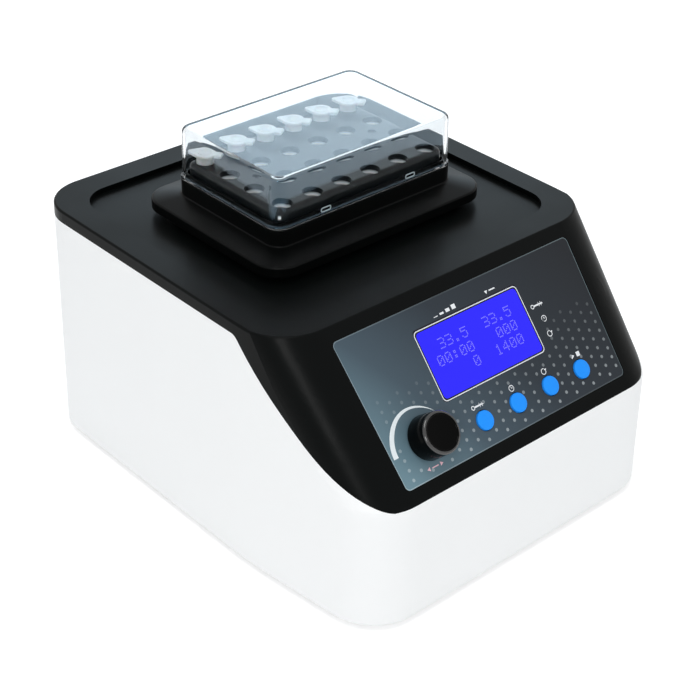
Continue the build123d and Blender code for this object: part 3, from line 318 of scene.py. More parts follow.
def closedTurned(name, profile, origin, axes, material, body, steps=64):
    # A turned piece whose profile starts and ends on its axis, so both ends close in one point
    rings = turnedPoints(profile[1:-1], origin, axes, steps)
    rows = len(profile) - 2
    ends = [origin + profile[i][1] * axes[2] for i in (0, -1)]
    points = np.concatenate([rings.reshape(-1, 3), ends])
    faces = gridFaces(rows, steps)
    column = np.arange(steps)
    after = (column + 1) % steps
    last = (rows - 1) * steps
    faces += np.stack([after, column, np.full(steps, rows * steps)], -1).tolist()
    faces += np.stack([last + column, last + after, np.full(steps, rows * steps + 1)], -1).tolist()
    return newPiece(name, points, faces, material, body)


def panelPoints(flat, height):
    # Points (x right, y up the slope) on the panel, at a height over the slope's plane
    flat = np.asarray(flat, float)
    return panelCentre + flat[..., :1] * panelRight + flat[..., 1:2] * panelUp + height * panelOut


blockCentre = (0.0, 32.869)

# Lid: outer skin, rim and inner skin are one closed surface
lidValues = {"size": (128.0, 86.0), "corner": 8.0, "bottom": 168.1, "height": 29.5, "wall": 2.0, "draft": 1.4,
             "edge": 2.4, "innerEdge": 1.2, "bead": 0.6, "rim": 0.3, "support": 0.5, "catchX": 30.5,
             "catchHeight": 2.9, "catch": (6.4, 2.2), "catchCorner": 0.7, "catchBead": 0.3}
lidTop = lidValues["bottom"] + lidValues["height"]
lean = math.tan(math.radians(lidValues["draft"]))
bottom, wallThick, edge = lidValues["bottom"], lidValues["wall"], lidValues["edge"]
innerEdge, rim, support = lidValues["innerEdge"], lidValues["rim"], lidValues["support"]
outerIn = -lean * (lidValues["height"] - edge)
innerIn = outerIn - wallThick
innerTop = lidTop - wallThick
# a support ring close to each rounding keeps the flat faces' shading flat
outerProfile = np.concatenate([
    arc((lidValues["bead"] - rim, bottom + rim), rim, -90, 0, 4),
    arc((lidValues["bead"] - rim, bottom + 3 * rim), rim, 0, 70, 4),
    [(0.02, bottom + 1.45)],
    [(-lean * rise, bottom + rise) for rise in (1.7, 2.2)],
    [(outerIn + lean * support, lidTop - edge - support)],
    arc((outerIn - edge, lidTop - edge), edge, 0, 90, 10),
    [(outerIn - edge - support, lidTop)],
])
innerProfile = np.concatenate([
    [(innerIn - innerEdge - support, innerTop)],
    arc((innerIn - innerEdge, innerTop - innerEdge), innerEdge, 90, 0, 6),
    [(innerIn + lean * support, innerTop - innerEdge - support)],
    [(-wallThick - lean * rise, bottom + rise) for rise in (0.9, 0.4)],
    [(-wallThick + 0.2, bottom)],
])
lidProfile = np.concatenate([innerProfile, outerProfile])
lidRings = roundedRings(lidValues["size"], lidValues["corner"], blockCentre, lidProfile)
columns = lidRings.shape[1]
lidFaces = gridFaces(len(lidRings), columns)
lidFaces.append(list(range(columns))[::-1])
lidFaces.append(list(range((len(lidRings) - 1) * columns, len(lidRings) * columns)))
lidShell = newPiece("lidShell", lidRings.reshape(-1, 3), lidFaces, clearPolycarbonate, "lid")
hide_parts("lid")


def frontFrame(name, x, z, size, corner, bead, material, body):
    # A thin raised frame on the lid's front wall: a half-round bead carried round a rounded rectangle
    y = blockCentre[1] - lidValues["size"][1] / 2 + lean * (z - bottom) - 0.05
    section = arc((0, 0), bead, 180, 0, 6)
    path = roundedRings(size, corner, (x, z), [(grow, 0.0) for grow, _ in section], 5)
    depth = np.broadcast_to(y - section[:, 1:2], path[..., 0].shape)
    points = np.stack([path[..., 0], depth, path[..., 1]], -1)
    faces = gridFaces(len(points), points.shape[1], True)
    return newPiece(name, points.reshape(-1, 3), faces, material, body)


for i, side in enumerate((-1, 1), 1):
    frontFrame(f"lidCatch_{i}", side * lidValues["catchX"], bottom + lidValues["catchHeight"],
               lidValues["catch"], lidValues["catchCorner"], lidValues["catchBead"], paintedCatchHighlight, "lid")
print("lid made")

# Shroud: flange with a rounded edge, gentle slope, fillet up to the collar, and the lip inside the lid
shroudValues = {"size": (156.6, 116.4), "corner": 16.0, "under": 149.3, "edgeTop": 155.2, "slopeTop": 158.2,
                "collarTop": 167.9, "collar": (129.2, 87.2), "collarCorner": 8.6, "edgeRound": 1.1,
                "foot": 0.8, "lipTop": 170.9, "bore": (120.2, 78.2), "wall": 2.2, "skirtRound": 0.4,
                "collarRound": 0.5, "lipRound": 0.4, "boreRound": 0.3, "support": 0.5, "lipGap": 0.4}
reach = (shroudValues["size"][0] - shroudValues["collar"][0]) / 2
fall = math.atan2(shroudValues["slopeTop"] - shroudValues["edgeTop"], reach)
fallDegrees = math.degrees(fall)
turnRound, footRound = shroudValues["edgeRound"], shroudValues["foot"]
edgeCentreX = reach - turnRound
edgeCentreZ = shroudValues["edgeTop"] - turnRound / math.cos(fall) + turnRound * math.tan(fall)
footX = footRound
footZ = shroudValues["slopeTop"] - footRound * math.tan(fall) + footRound / math.cos(fall)
support, supportFall = shroudValues["support"], shroudValues["support"] * math.tan(fall)
skirtRound, collarRound = shroudValues["skirtRound"], shroudValues["collarRound"]
underZ, collarTop = shroudValues["under"], shroudValues["collarTop"]
skirt = np.concatenate([
    [(reach - shroudValues["wall"], underZ)],
    arc((reach - skirtRound, underZ + skirtRound), skirtRound, -90, 0, 3),
    [(reach, underZ + 2 * skirtRound), (reach, edgeCentreZ - skirtRound)],
    arc((edgeCentreX, edgeCentreZ), turnRound, 0, 90 - fallDegrees, 6),
    [(edgeCentreX + turnRound * math.sin(fall) - support,
      edgeCentreZ + turnRound * math.cos(fall) + supportFall)],
    [(footX - footRound * math.sin(fall) + support, footZ - footRound * math.cos(fall) - supportFall)],
    arc((footX, footZ), footRound, 270 - fallDegrees, 180, 5),
    [(0.0, footZ + support), (0.0, collarTop - 2 * collarRound)],
    arc((-collarRound, collarTop - collarRound), collarRound, 0, 90, 4),
    [(-collarRound - 0.4, collarTop)],
])
skirtRings = roundedRings(shroudValues["collar"], shroudValues["collarCorner"], blockCentre, skirt)
# the flange's own corners are larger than the collar's, so its rings are drawn on their own outline
flangeOutline = roundedRings(shroudValues["size"], shroudValues["corner"], blockCentre,
                             [(grow - reach, height) for grow, height in skirt])
outward = np.clip(skirt[:, 0] / reach, 0, 1)[:, None, None]
skirtRings = skirtRings * (1 - outward) + flangeOutline * outward
lipIn = -(shroudValues["collar"][0] / 2 - lidValues["size"][0] / 2 + wallThick + shroudValues["lipGap"])
boreIn = (shroudValues["bore"][0] - shroudValues["collar"][0]) / 2
lipTop, lipRound, boreRound = shroudValues["lipTop"], shroudValues["lipRound"], shroudValues["boreRound"]
lip = np.concatenate([
    [(lipIn, collarTop)],
    arc((lipIn - lipRound, lipTop - lipRound), lipRound, 0, 90, 3),
    arc((boreIn + boreRound, lipTop - boreRound), boreRound, 90, 180, 3),
    [(boreIn, underZ + 7.5)],
    [(reach - shroudValues["wall"] - 1.0, shroudValues["edgeTop"] - shroudValues["wall"])],
])
lipRings = roundedRings(shroudValues["collar"], shroudValues["collarCorner"], blockCentre, lip)
shroudRings = np.concatenate([skirtRings, lipRings])
shroudFaces = gridFaces(len(shroudRings), shroudRings.shape[1], True)
shroudShell = newPiece("shroudShell", shroudRings.reshape(-1, 3), shroudFaces, blackShroud, "platform")
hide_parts("block_shroud")
print("shroud made")

# Knob: tapered side, rounded edge, a bright land at the rim and a shallow dished top
knobValues = {"place": (-57.5, -21.7), "base": 0.3, "radius": 12.0, "topRadius": 11.3, "height": 14.0,
              "edge": 1.3, "land": 0.7, "step": 0.35, "dish": 0.5, "cavity": 9.0, "cavityTop": 4.6,
              "shaft": 3.0, "shaftTop": 11.0, "footRound": 0.3, "steps": 96}
rimCentre = (knobValues["topRadius"] - knobValues["edge"], knobValues["height"] - knobValues["edge"])
landInner = rimCentre[0] - knobValues["land"]
stepZ = knobValues["height"] - knobValues["step"]
knobProfile = np.concatenate([
    [(0.0, knobValues["shaftTop"])],
    [(knobValues["shaft"], knobValues["shaftTop"]), (knobValues["shaft"], knobValues["cavityTop"])],
    [(knobValues["cavity"], knobValues["cavityTop"]), (knobValues["cavity"], knobValues["base"])],
    arc((knobValues["radius"] - knobValues["footRound"], knobValues["base"] + knobValues["footRound"]),
        knobValues["footRound"], -90, 0, 3),
    arc(rimCentre, knobValues["edge"], 3, 90, 8),
    [(landInner + 0.1, knobValues["height"]), (landInner, knobValues["height"] - 0.08)],
    [(landInner - 0.15, stepZ), (landInner - 0.6, stepZ - 0.02)],
    [(landInner * 0.5, stepZ - knobValues["dish"] * 0.75)],
    [(0.0, stepZ - knobValues["dish"])],
])
axes = (panelRight, panelUp, panelOut)
knobFoot = panelPoints(knobValues["place"], 0.0)
knobCap = closedTurned("knobCap", knobProfile, knobFoot, axes, glossBlack, "knob",
                       knobValues["steps"])
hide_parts("control_knob")

# A closed thin ring laid over the rim's rounding
rimValues = {"from": 8, "to": 96, "proud": 0.02, "deep": 0.12}
rimOver = arc(rimCentre, knobValues["edge"] + rimValues["proud"], rimValues["from"], rimValues["to"], 10)
rimUnder = arc(rimCentre, knobValues["edge"] - rimValues["deep"], rimValues["to"], rimValues["from"], 10)
rimRings = turnedPoints(np.concatenate([rimOver, rimUnder]), knobFoot, axes, knobValues["steps"])
newPiece("knobRim", rimRings.reshape(-1, 3), gridFaces(len(rimRings), knobValues["steps"], True), polishedRim,
         "knob")

# Buttons: domed silicone caps with a soft edge, and the flange that keeps each from falling out
buttonValues = {"count": 4, "firstX": -19.3, "pitch": 24.8, "y": -27.7, "radius": 5.3, "rise": 0.8,
                "dome": 0.35, "edge": 0.7, "back": -4.3, "flange": 6.8, "flangeThick": 1.0}
rise, edge, back = buttonValues["rise"], buttonValues["edge"], buttonValues["back"]
for i in range(buttonValues["count"]):
    centre = panelPoints((buttonValues["firstX"] + i * buttonValues["pitch"], buttonValues["y"]), 0.0)
    buttonProfile = np.concatenate([
        [(0.0, back - buttonValues["flangeThick"])],
        [(buttonValues["flange"], back - buttonValues["flangeThick"]), (buttonValues["flange"], back)],
        [(buttonValues["radius"], back)],
        arc((buttonValues["radius"] - edge, rise - edge), edge, 0, 78, 6),
        [(buttonValues["radius"] * 0.5, rise + buttonValues["dome"] * 0.72)],
        [(0.0, rise + buttonValues["dome"])],
    ])
    cap = closedTurned(f"buttonCap_{i + 1}", buttonProfile, centre, axes, blueSilicone, f"button_{i + 1}",
                       72)
    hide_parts(f"button_{i + 1}")
print("knob and buttons made")

# Microtubes: turned body, and a thin cap whose outline runs out to a small hinge and a ridged lifting tab
tubeValues = {"count": 6, "pitch": 20.6, "row": 31.5, "seat": 177.2, "length": 36.0, "neck": 4.8, "disc": 6.2,
              "hingeReach": 8.0, "hingeRadius": 1.7, "tabReach": 9.9, "tabHalf": 3.0, "tabTurn": -54.0,
              "under": 3.8, "top": 5.6, "ridge": 0.3, "ridgePitch": 1.15, "steps": 180}
seat = tubeValues["seat"]
angles = np.linspace(0, 2 * math.pi, tubeValues["steps"], endpoint=False)
fromTab = np.angle(np.exp(1j * (angles - math.radians(tubeValues["tabTurn"]))))
fromHinge = np.angle(np.exp(1j * (fromTab + math.pi)))
# the tab is a plain rectangle; the hinge web is every circle between the disc and the hinge's small one
ahead = np.abs(fromTab) < 1.5
tabOutline = np.where(ahead, np.minimum(tubeValues["tabReach"] / np.cos(np.where(ahead, fromTab, 0)),
                                        tubeValues["tabHalf"] / np.maximum(np.abs(np.sin(fromTab)), 1e-6)), 0)
outline = np.maximum(tubeValues["disc"], tabOutline)
webSteps = 21
for share in np.linspace(0, 1, webSteps):
    offset = share * tubeValues["hingeReach"]
    radius = tubeValues["disc"] * (1 - share) + tubeValues["hingeRadius"] * share
    room = radius ** 2 - (offset * np.sin(fromHinge)) ** 2
    away = offset * np.cos(fromHinge) + np.sqrt(np.maximum(room, 0))
    outline = np.maximum(outline, np.where(room > 0, away, 0))
plain = np.ones_like(outline)
under, capTop = tubeValues["under"], tubeValues["top"]
# (radius, height over the block's face) up the tapered body, and (share of the outline, height) over the cap
bodyRings = [(0.4, -tubeValues["length"]), (1.6, -tubeValues["length"] + 0.3), (1.9, -34.5), (4.7, -18),
             (4.9, -1), (4.9, 0.4), (4.85, 1.0), (tubeValues["neck"], 1.3), (tubeValues["neck"], under)]
capRings = [(0.95, under), (0.99, under + 0.25), (1.0, under + 0.6), (1.0, capTop - 0.45),
            (0.985, capTop - 0.12), (0.955, capTop)]
rings = [(plain * radius, plain * height) for radius, height in bodyRings]
rings += [(outline * scale, plain * height) for scale, height in capRings]
# ridges across the tab, made by the height of the rings that pass over it
for scale in np.linspace(0.94, 0.62, 17):
    reach = outline * scale
    tabPlace = reach * np.cos(fromTab) - tubeValues["disc"]
    onTab = (tabPlace > 0) & (np.abs(reach * np.sin(fromTab)) < tubeValues["tabHalf"] - 0.2)
    wave = 0.5 - 0.5 * np.cos(2 * math.pi * tabPlace / tubeValues["ridgePitch"])
    rings.append((reach, capTop + np.where(onTab, tubeValues["ridge"] * wave, 0.0)))
# a fine raised ring and the shallow dish inside it
inner = np.minimum(outline * 0.6, 4.6)
rings.append((np.maximum(inner, 4.2), plain * capTop))
rings += [(plain * radius, plain * (capTop + lift))
          for radius, lift in ((4.0, 0.25), (3.7, 0.25), (3.5, -0.35), (0.4, -0.45))]
radius = np.array([ring for ring, _ in rings])
height = np.array([z for _, z in rings]) + seat
for i in range(tubeValues["count"]):
    x = (i - (tubeValues["count"] - 1) / 2) * tubeValues["pitch"]
    y = blockCentre[1] + tubeValues["row"]
    points = np.stack([x + radius * np.cos(angles), y + radius * np.sin(angles), height], -1)
    faces = gridFaces(len(rings), len(angles))
    faces.append(list(range(len(angles)))[::-1])
    faces.append(list(range((len(rings) - 1) * len(angles), len(rings) * len(angles))))
    tube = newPiece(f"microtube_{i + 1}", points.reshape(-1, 3), faces, milkyPolypropylene, "platform")
    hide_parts(f"sample_tube_{i + 1}")
print("tubes made")

# Panel print: everything lies a hair above the film
printHeight = panelValues["filmTop"] + 0.03


def flatShape(name, outlines, material, height=printHeight, body="housing"):
    # Flat filled outlines on the panel, each a list of points (x, y) in order
    points, faces, first = [], [], 0
    for shape in outlines:
        shape = np.asarray(shape, float)
        area = np.sum(shape[:, 0] * np.roll(shape[:, 1], -1) - np.roll(shape[:, 0], -1) * shape[:, 1])
        order = range(len(shape)) if area > 0 else range(len(shape) - 1, -1, -1)
        points.append(panelPoints(shape, height))
        faces.append([first + j for j in order])
        first += len(shape)
    return newPiece(name, np.concatenate(points), faces, material, body, smooth=False)


def bandShape(inner, outer):
    # The quads between two lines of points that run side by side
    inner, outer = np.asarray(inner, float), np.asarray(outer, float)
    return [np.array([inner[j], outer[j], outer[j + 1], inner[j + 1]]) for j in range(len(inner) - 1)]


def ringBand(centre, radius, width, start=0, end=360, steps=40):
    # A ring or part of one: the quads between two arcs that lie half the width inside and outside the radius
    inner = arc(centre, radius - width / 2, start, end, steps)
    outer = arc(centre, radius + width / 2, start, end, steps)
    return bandShape(inner, outer)


def bar(x0, y0, x1, y1):
    # The rectangle between two opposite corners
    return [np.array([(x0, y0), (x1, y0), (x1, y1), (x0, y1)])]


# Small grey dots in staggered columns, which fade out up the panel. They keep clear of what else is on it
dotValues = {"firstX": -82.3, "columns": 26, "columnPitch": 6.72, "rowPitch": 5.31, "firstY": -40.1,
             "radius": 0.95, "top": 5.6, "edgeGap": 2.0, "bottomGap": 1.5, "buttonGap": 1.5, "knobGap": 14.5,
             "displayHalf": 39.6, "displayFoot": -11.8, "halfTop": 85.75, "halfBottom": 82.2,
             "halfLength": 41.3}
dots = []
arcValues = {"points": ((-81.1, -24.2), (-75.8, -10.3), (-70.2, -5.9), (-61.3, -3.7), (-53.6, -5.6),
                        (-45.8, -11.4)),
             "widths": (3.1, 2.6, 2.1, 1.4, 0.9, 0.1), "steps": 60, "clear": 2.2, "power": 4}
outerPoints = np.array(arcValues["points"])
widths = np.array(arcValues["widths"])
chord = np.concatenate([[0], np.cumsum(np.hypot(*np.diff(outerPoints, axis=0).T))])
spots = np.linspace(0, chord[-1], arcValues["steps"])


def throughPoints(values):
    # A smooth line through the points: the polynomial of their distance along the arc
    return np.polyval(np.polyfit(chord, values, arcValues["power"]), spots)


outerLine = np.stack([throughPoints(outerPoints[:, 0]), throughPoints(outerPoints[:, 1])], -1)
heading = np.gradient(outerLine, axis=0)
heading /= np.linalg.norm(heading, axis=1)[:, None]
inward = np.stack([heading[:, 1], -heading[:, 0]], -1)
innerLine = outerLine + inward * np.interp(spots, chord, widths)[:, None]
middleLine = (outerLine + innerLine) / 2
circleTurn = np.radians(np.arange(0, 360, 30))
circle = np.stack([np.cos(circleTurn), np.sin(circleTurn)], -1)
for column in range(dotValues["columns"]):
    x = dotValues["firstX"] + column * dotValues["columnPitch"]
    y = dotValues["firstY"] + (column % 2) * dotValues["rowPitch"] / 2
    while y < dotValues["top"]:
        climb = (y + dotValues["halfLength"]) / (2 * dotValues["halfLength"])
        half = dotValues["halfBottom"] + climb * (dotValues["halfTop"] - dotValues["halfBottom"])
        toButtons = [math.hypot(x - buttonValues["firstX"] - k * buttonValues["pitch"], y - buttonValues["y"])
                     for k in range(buttonValues["count"])]
        nearButton = min(toButtons) < buttonValues["radius"] + dotValues["buttonGap"]
        nearKnob = math.hypot(x - knobValues["place"][0], y - knobValues["place"][1]) < dotValues["knobGap"]
        nearDisplay = abs(x) < dotValues["displayHalf"] and y > dotValues["displayFoot"]
        nearArc = np.min(np.hypot(*(middleLine - (x, y)).T)) < arcValues["clear"]
        foot = dotValues["bottomGap"] - dotValues["halfLength"]
        inside = abs(x) < half - dotValues["edgeGap"] and y > foot
        if inside and not (nearButton or nearKnob or nearDisplay or nearArc):
            dots.append(circle * dotValues["radius"] + (x, y))
        y += dotValues["rowPitch"]
# White ink so thin that the film's colour shows through, thinner still towards the top
dotInk = newMaterial("dotInk", "#6F7A82", 0.4, Specular_IOR_Level=0.22)
colourAlong(dotInk, filmAway, *filmReach, filmStops)
inkValues = {"white": "#DDE7EB", "low": -41.0, "high": 5.0, "lowShare": 0.34, "highShare": 0.06}
dotStart = float(panelUp @ panelCentre)
tree = dotInk.node_tree
rising = addNode(tree, "ShaderNodeVectorMath", {"operation": "DOT_PRODUCT", 1: tuple(panelUp)},
                 {0: objectPlace(tree)})
thickness = addNode(tree, "ShaderNodeMapRange",
                    {"From Min": (dotStart + inkValues["low"]) * mm, "To Min": inkValues["lowShare"],
                     "From Max": (dotStart + inkValues["high"]) * mm, "To Max": inkValues["highShare"]},
                    {"Value": rising.outputs["Value"]})
filmColour = tree.nodes["Principled BSDF"].inputs["Base Color"].links[0].from_socket
inked = addNode(tree, "ShaderNodeMix", {"data_type": "RGBA", 7: linear(inkValues["white"])},
                {0: thickness.outputs[0], 6: filmColour})
tree.links.new(inked.outputs[2], tree.nodes["Principled BSDF"].inputs["Base Color"])
flatShape("panelDots", dots, dotInk)
print("dots:", len(dots))

# Pale arc over the knob, broad at its lower end and thinning to a tip, in opaque ink
arcInk = newMaterial("arcInk", "#E6EFF3", 0.35)
flatShape("panelArc", bandShape(innerLine, outerLine), arcInk)

# Thin white line round the display and pictograms: warmth, time, turning, start and stop
displayValues = {"half": (37.3, 19.0), "y": 9.2, "corner": 2.2, "line": 0.5, "border": (36.55, 18.25),
                 "outside": (38.0, 20.1), "outsideY": 9.5}
ring = roundedRings((displayValues["half"][0] * 2, displayValues["half"][1] * 2), displayValues["corner"],
                    (0.0, displayValues["y"]), [(0.0, 0.0), (displayValues["line"], 0.0)], 8)[..., :2]
closed = np.concatenate([ring, ring[:, :1]], 1)
inkShapes = bandShape(closed[0], closed[1])
borderLines = []
for half, y in ((displayValues["border"], displayValues["y"]),
                (displayValues["outside"], displayValues["outsideY"])):
    size = (half[0] * 2, half[1] * 2)
    line = roundedRings(size, displayValues["corner"], (0.0, y), [(0.0, 0.0)], 8)[0, :, :2]
    borderLines.append(np.concatenate([line, line[:1]]))
# Painted shadow of the display window's edge: a black band a hair under the white line
paintedWindowShadow = newMaterial("paintedWindowShadow", "#12151F", 0.35, Specular_IOR_Level=0.22)
flatShape("displayEdgeShadow", bandShape(*borderLines), paintedWindowShadow, printHeight - 0.015)

# The film's cut edge: a painted highlight, a thin pale line, brightest at the lower left
edgeValues = {"halfTop": 85.6, "halfBottom": 82.1, "halfLength": 41.2, "corner": 3.0, "width": 0.5,
              "steps": 8}


def filmOutline(inset):
    # The trapezoid with rounded corners, moved in by the inset
    sideLean = math.atan2(edgeValues["halfTop"] - edgeValues["halfBottom"], 2 * edgeValues["halfLength"])
    radius = edgeValues["corner"] - inset
    line = []
    for signX, signY, start in ((1, 1, 0), (-1, 1, 90), (-1, -1, 180), (1, -1, 270)):
        half = edgeValues["halfTop"] if signY > 0 else edgeValues["halfBottom"]
        x = signX * (half - edgeValues["corner"] * (1 + signY * math.tan(sideLean)))
        y = signY * (edgeValues["halfLength"] - edgeValues["corner"])
        line.append(arc((x, y), radius, start, start + 90, edgeValues["steps"]))
    line = np.concatenate(line)
    return np.concatenate([line, line[:1]])


paintedEdgeHighlight = newMaterial("paintedEdgeHighlight", "#59666B", 0.25)
colourAlong(paintedEdgeHighlight, filmAway, *filmReach,
            ((0.0, "#A9C0C9"), (1.0, "#59686D"), (0.3, "#6C7E87"), (0.6, "#3A454B")))
flatShape("filmEdgeHighlight", bandShape(filmOutline(edgeValues["width"]), filmOutline(0.0)), paintedEdgeHighlight)


def thermometer(x, y):
    # A ring for the bulb, a long bar for the stem and two short bars across it
    stem = bar(x - 2.5, y - 0.45, x + 4.0, y + 0.45)
    ticks = [bar(x + along, y - 1.2, x + along + 0.3, y + 1.2) for along in (1.0, 2.6)]
    return ringBand((x - 3.6, y), 1.0, 0.45) + stem + ticks[0] + ticks[1]


def clock(x, y):
    # A ring with one hand up and one hand right
    hands = bar(x - 0.17, y - 0.1, x + 0.17, y + 1.1) + bar(x, y - 0.17, x + 0.9, y + 0.17)
    return ringBand((x, y), 1.6, 0.4) + hands


def turning(x, y):
    # Five sixths of a ring that ends in an arrow's head
    head = np.array([(x + 0.7, y + 1.0), (x + 2.4, y + 1.0), (x + 1.55, y - 0.4)])
    return ringBand((x, y), 1.55, 0.42, 60, 360, 30) + [head]


def triangle(x, y, size, point):
    # Three points a third of a turn apart, the first one in the named direction
    turns = {"down": -90, "right": 0, "left": 180}[point]
    spin = np.radians(np.array([0, 120, 240]) + turns)
    return [np.stack([x + size * np.cos(spin), y + size * np.sin(spin)], -1)]


# Places of the signs: beside the display's three rows, over it, and over the four buttons
markValues = {"buttonRow": -19.4, "rowSigns": ((46.0, 13.9), (46.4, 5.8), (45.6, -2.8)),
              "buttonSigns": (-19.3, 5.5, 30.3), "play": 53.0, "stop": (56.2, 58.8), "set": (17.6, 31.9),
              "bars": (-21.0, 31.0), "barPitch": 4.4, "barWidth": 2.8, "barGrow": 0.7}
inkShapes += triangle(*markValues["set"], 1.3, "down") + bar(19.8, 31.6, 24.2, 32.3)
barX, barY = markValues["bars"]
for k in range(4):
    left = barX + markValues["barPitch"] * k
    inkShapes += bar(left, barY, left + markValues["barWidth"], barY + 0.4 + markValues["barGrow"] * k)
signs = (thermometer, clock, turning)
for sign, rowPlace, buttonX in zip(signs, markValues["rowSigns"], markValues["buttonSigns"]):
    inkShapes += sign(*rowPlace) + sign(buttonX, markValues["buttonRow"])
inkShapes += triangle(markValues["play"], markValues["buttonRow"], 1.6, "right")
inkShapes += bar(markValues["stop"][0], markValues["buttonRow"] - 1.3, markValues["stop"][1],
                 markValues["buttonRow"] + 1.3)
flatShape("panelMarks", inkShapes, whiteInk)
# Ink, pale pink, for the sign under the knob
pinkInk = newMaterial("pinkInk", "#E8B9C4", 0.4)
flatShape("knobMarks", triangle(-64.2, -36.4, 1.3, "left") + bar(-62.2, -36.7, -57.8, -36.1)
          + triangle(-55.8, -36.4, 1.3, "right"), pinkInk)

# Dot-matrix figures on the display: each lit dot is a small square, five across and seven up
figures = {
    "0": "01110 10001 10011 10101 11001 10001 01110", "1": "00100 01100 00100 00100 00100 00100 01110",
    "3": "11110 00001 00001 01110 00001 00001 11110", "4": "00010 00110 01010 10010 11111 00010 00010",
    "5": "11111 10000 11110 00001 00001 10001 01110", ".": "00000 00000 00000 00000 00000 01100 01100",
    ":": "00000 01100 01100 00000 01100 01100 00000",
}
figureValues = {"dotX": 0.88, "dotY": 0.84, "size": 0.55, "pitch": 5.35, "rows": (15.0, 6.9, -1.1),
                "left": ("33.5", "00:00", "0"), "right": ("33.5", "000", "1400"), "leftEnd": -4.7,
                "rightEnd": 27.6}
square = np.array([(0, 0), (1, 0), (1, 1), (0, 1)]) * figureValues["size"]
litShapes = []
for words, end in ((figureValues["left"], figureValues["leftEnd"]),
                   (figureValues["right"], figureValues["rightEnd"])):
    for word, base in zip(words, figureValues["rows"]):
        for place, sign in enumerate(reversed(word)):
            left = end - 5 * figureValues["dotX"] - place * figureValues["pitch"]
            for row, cells in enumerate(figures[sign].split()):
                for column, cell in enumerate(cells):
                    if cell == "1":
                        litShapes.append(square + (left + column * figureValues["dotX"],
                                                   base + (6 - row) * figureValues["dotY"]))
flatShape("displayFigures", litShapes, litDots, panelValues["filmTop"] - 0.02)
print("panel print made:", len(litShapes), "lit dots")


def standAt(thing, right, up, back, place):
    # Stands an object at a place in metres: its three axes and the place are the columns of its world matrix
    columns = np.stack([right, up, back, place], -1)
    thing.matrix_world = Matrix(np.vstack([columns, (0, 0, 0, 1)]).tolist())


# Camera at the photograph's place, solved from the panel, the lid and the wells
cameraValues = {"focalPixels": 1668.331, "azimuth": -42.481, "elevation": 32.703, "roll": 1.297,
                "distance": 962.797, "target": (-0.002, 4.841, 61.2), "centre": (346.33, 352.44),
                "frame": 700.0, "sensor": 36.0}
cameraData = bpy.data.cameras.new("studioCamera")
camera = bpy.data.objects.new("studioCamera", cameraData)
bpy.context.scene.collection.objects.link(camera)
azimuth, elevation, roll = (math.radians(cameraValues[k]) for k in ("azimuth", "elevation", "roll"))
back = np.array([math.sin(azimuth) * math.cos(elevation), -math.cos(azimuth) * math.cos(elevation),
                 math.sin(elevation)])
right = np.array([math.cos(azimuth), math.sin(azimuth), 0.0])
up = np.cross(back, right)
place = np.array(cameraValues["target"]) * mm + back * cameraValues["distance"] * mm
rolledRight = math.cos(roll) * right + math.sin(roll) * up
rolledUp = math.cos(roll) * up - math.sin(roll) * right
standAt(camera, rolledRight, rolledUp, back, place)
cameraData.sensor_width = cameraValues["sensor"]
cameraData.lens = cameraValues["focalPixels"] / cameraValues["frame"] * cameraValues["sensor"]
cameraData.shift_x = (cameraValues["frame"] / 2 - cameraValues["centre"][0]) / cameraValues["frame"]
cameraData.shift_y = (cameraValues["centre"][1] - cameraValues["frame"] / 2) / cameraValues["frame"]
cameraData.clip_start, cameraData.clip_end = 0.05, 20.0
bpy.context.scene.camera = camera


# Floor, studio and lamps

def seenDirectly(tree):
    # One for rays from the camera, from a mirror or through clear plastic, none for the light on the object
    rays = addNode(tree, "ShaderNodeLightPath")
    seen = addNode(tree, "ShaderNodeMath", {"operation": "MAXIMUM"},
                   {0: rays.outputs["Is Camera Ray"], 1: rays.outputs["Is Glossy Ray"]})
    return addNode(tree, "ShaderNodeMath", {"operation": "MAXIMUM"},
                   {0: seen.outputs[0], 1: rays.outputs["Is Transmission Ray"]}).outputs[0]


studio = bpy.data.worlds.new("studio")
bpy.context.scene.world = studio
studio.use_nodes = True
tree = studio.node_tree
tree.nodes.clear()
# White where it is seen, in a mirror and through the lid too; the light on the object stays plain
roomValues = {"light": 0.66, "seen": 1.0}
roomStrength = addNode(tree, "ShaderNodeMapRange",
                       {"To Min": roomValues["light"], "To Max": roomValues["seen"]},
                       {"Value": seenDirectly(tree)})
roomLight = addNode(tree, "ShaderNodeBackground", {"Color": (1, 1, 1, 1)},
                    {"Strength": roomStrength.outputs[0]})
addNode(tree, "ShaderNodeOutputWorld", {}, {"Surface": roomLight.outputs[0]})


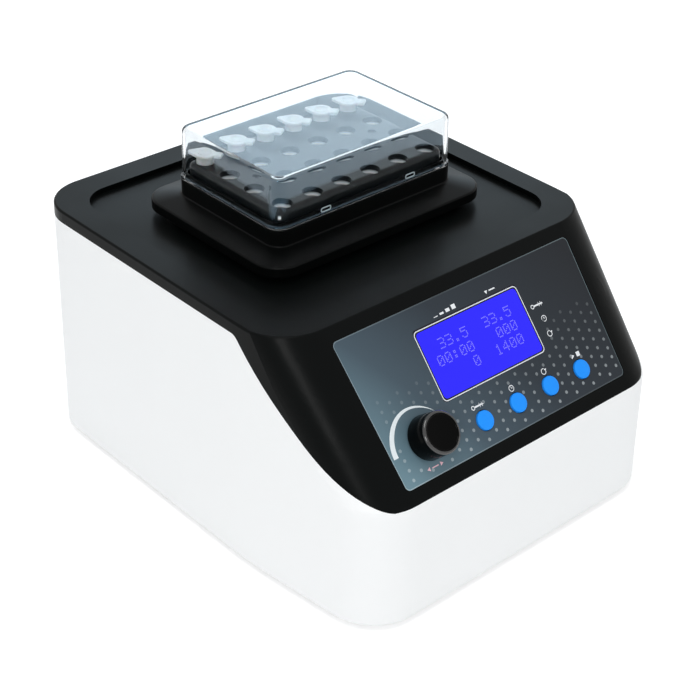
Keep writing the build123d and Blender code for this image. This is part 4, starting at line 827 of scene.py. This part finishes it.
def lamp(name, place, target, size, power, colour=(1.0, 1.0, 1.0)):
    # A soft rectangular lamp that points at the target
    data = bpy.data.lights.new(name, "AREA")
    data.color = colour
    data.shape, data.size, data.size_y, data.energy = "RECTANGLE", size[0], size[1], power
    light = bpy.data.objects.new(name, data)
    bpy.context.scene.collection.objects.link(light)
    away = np.array(place, float) - np.array(target, float)
    away /= np.linalg.norm(away)
    side = np.cross((0.0, 0.0, 1.0), away)
    side /= np.linalg.norm(side)
    standAt(light, side, np.cross(away, side), away, place)


# Places and sizes in metres, powers in watts. Overhead: it draws thin lines along the rounded edges
lamp("keyLamp", (-0.3, -0.2, 1.6), (0, 0, 0.1), (0.6, 0.6), 5.2)
# Low in front, for the white front wall
lamp("fillLamp", (0.15, -1.6, 0.5), (0, 0, 0.08), (0.9, 0.7), 0.8)
# By the camera: its mirror image runs down the rounded bolsters and the shroud's corners
lamp("frontLamp", (-1.02, -0.84, 0.8), (0, 0, 0.1), (0.3, 0.34), 3.8)
# Behind the object, where the lid's top and the deck's sides mirror it towards the camera
lamp("skyLamp", (0.602, 0.692, 0.474), (0, 0.033, 0.198), (0.72, 0.39), 1.3, (0.6, 0.84, 1.0))

# lift is the paper's own light where it is seen, so that it reads as white behind the object
floorValues = {"size": 6.0, "lift": 0.3}
half = floorValues["size"] / 2
floorMesh = bpy.data.meshes.new("floor")
floorCorners = [(-half, -half, 0), (half, -half, 0), (half, half, 0), (-half, half, 0)]
floorMesh.from_pydata(floorCorners, [], [(0, 1, 2, 3)])
floor = bpy.data.objects.new("floor", floorMesh)
bpy.context.scene.collection.objects.link(floor)
# Paper, seamless and matt: plain white ground that still takes the object's shadow
palePaper = newMaterial("palePaper", "#FFFFFF", 0.9)
floorMesh.materials.append(palePaper)
tree = palePaper.node_tree
surface = tree.nodes["Principled BSDF"]
lift = addNode(tree, "ShaderNodeMath", {"operation": "MULTIPLY", 1: floorValues["lift"]},
               {0: seenDirectly(tree)})
surface.inputs["Emission Color"].default_value = (1, 1, 1, 1)
tree.links.new(lift.outputs[0], surface.inputs["Emission Strength"])
bpy.context.scene.view_settings.view_transform = "Standard"
print("camera, floor and lamps set")
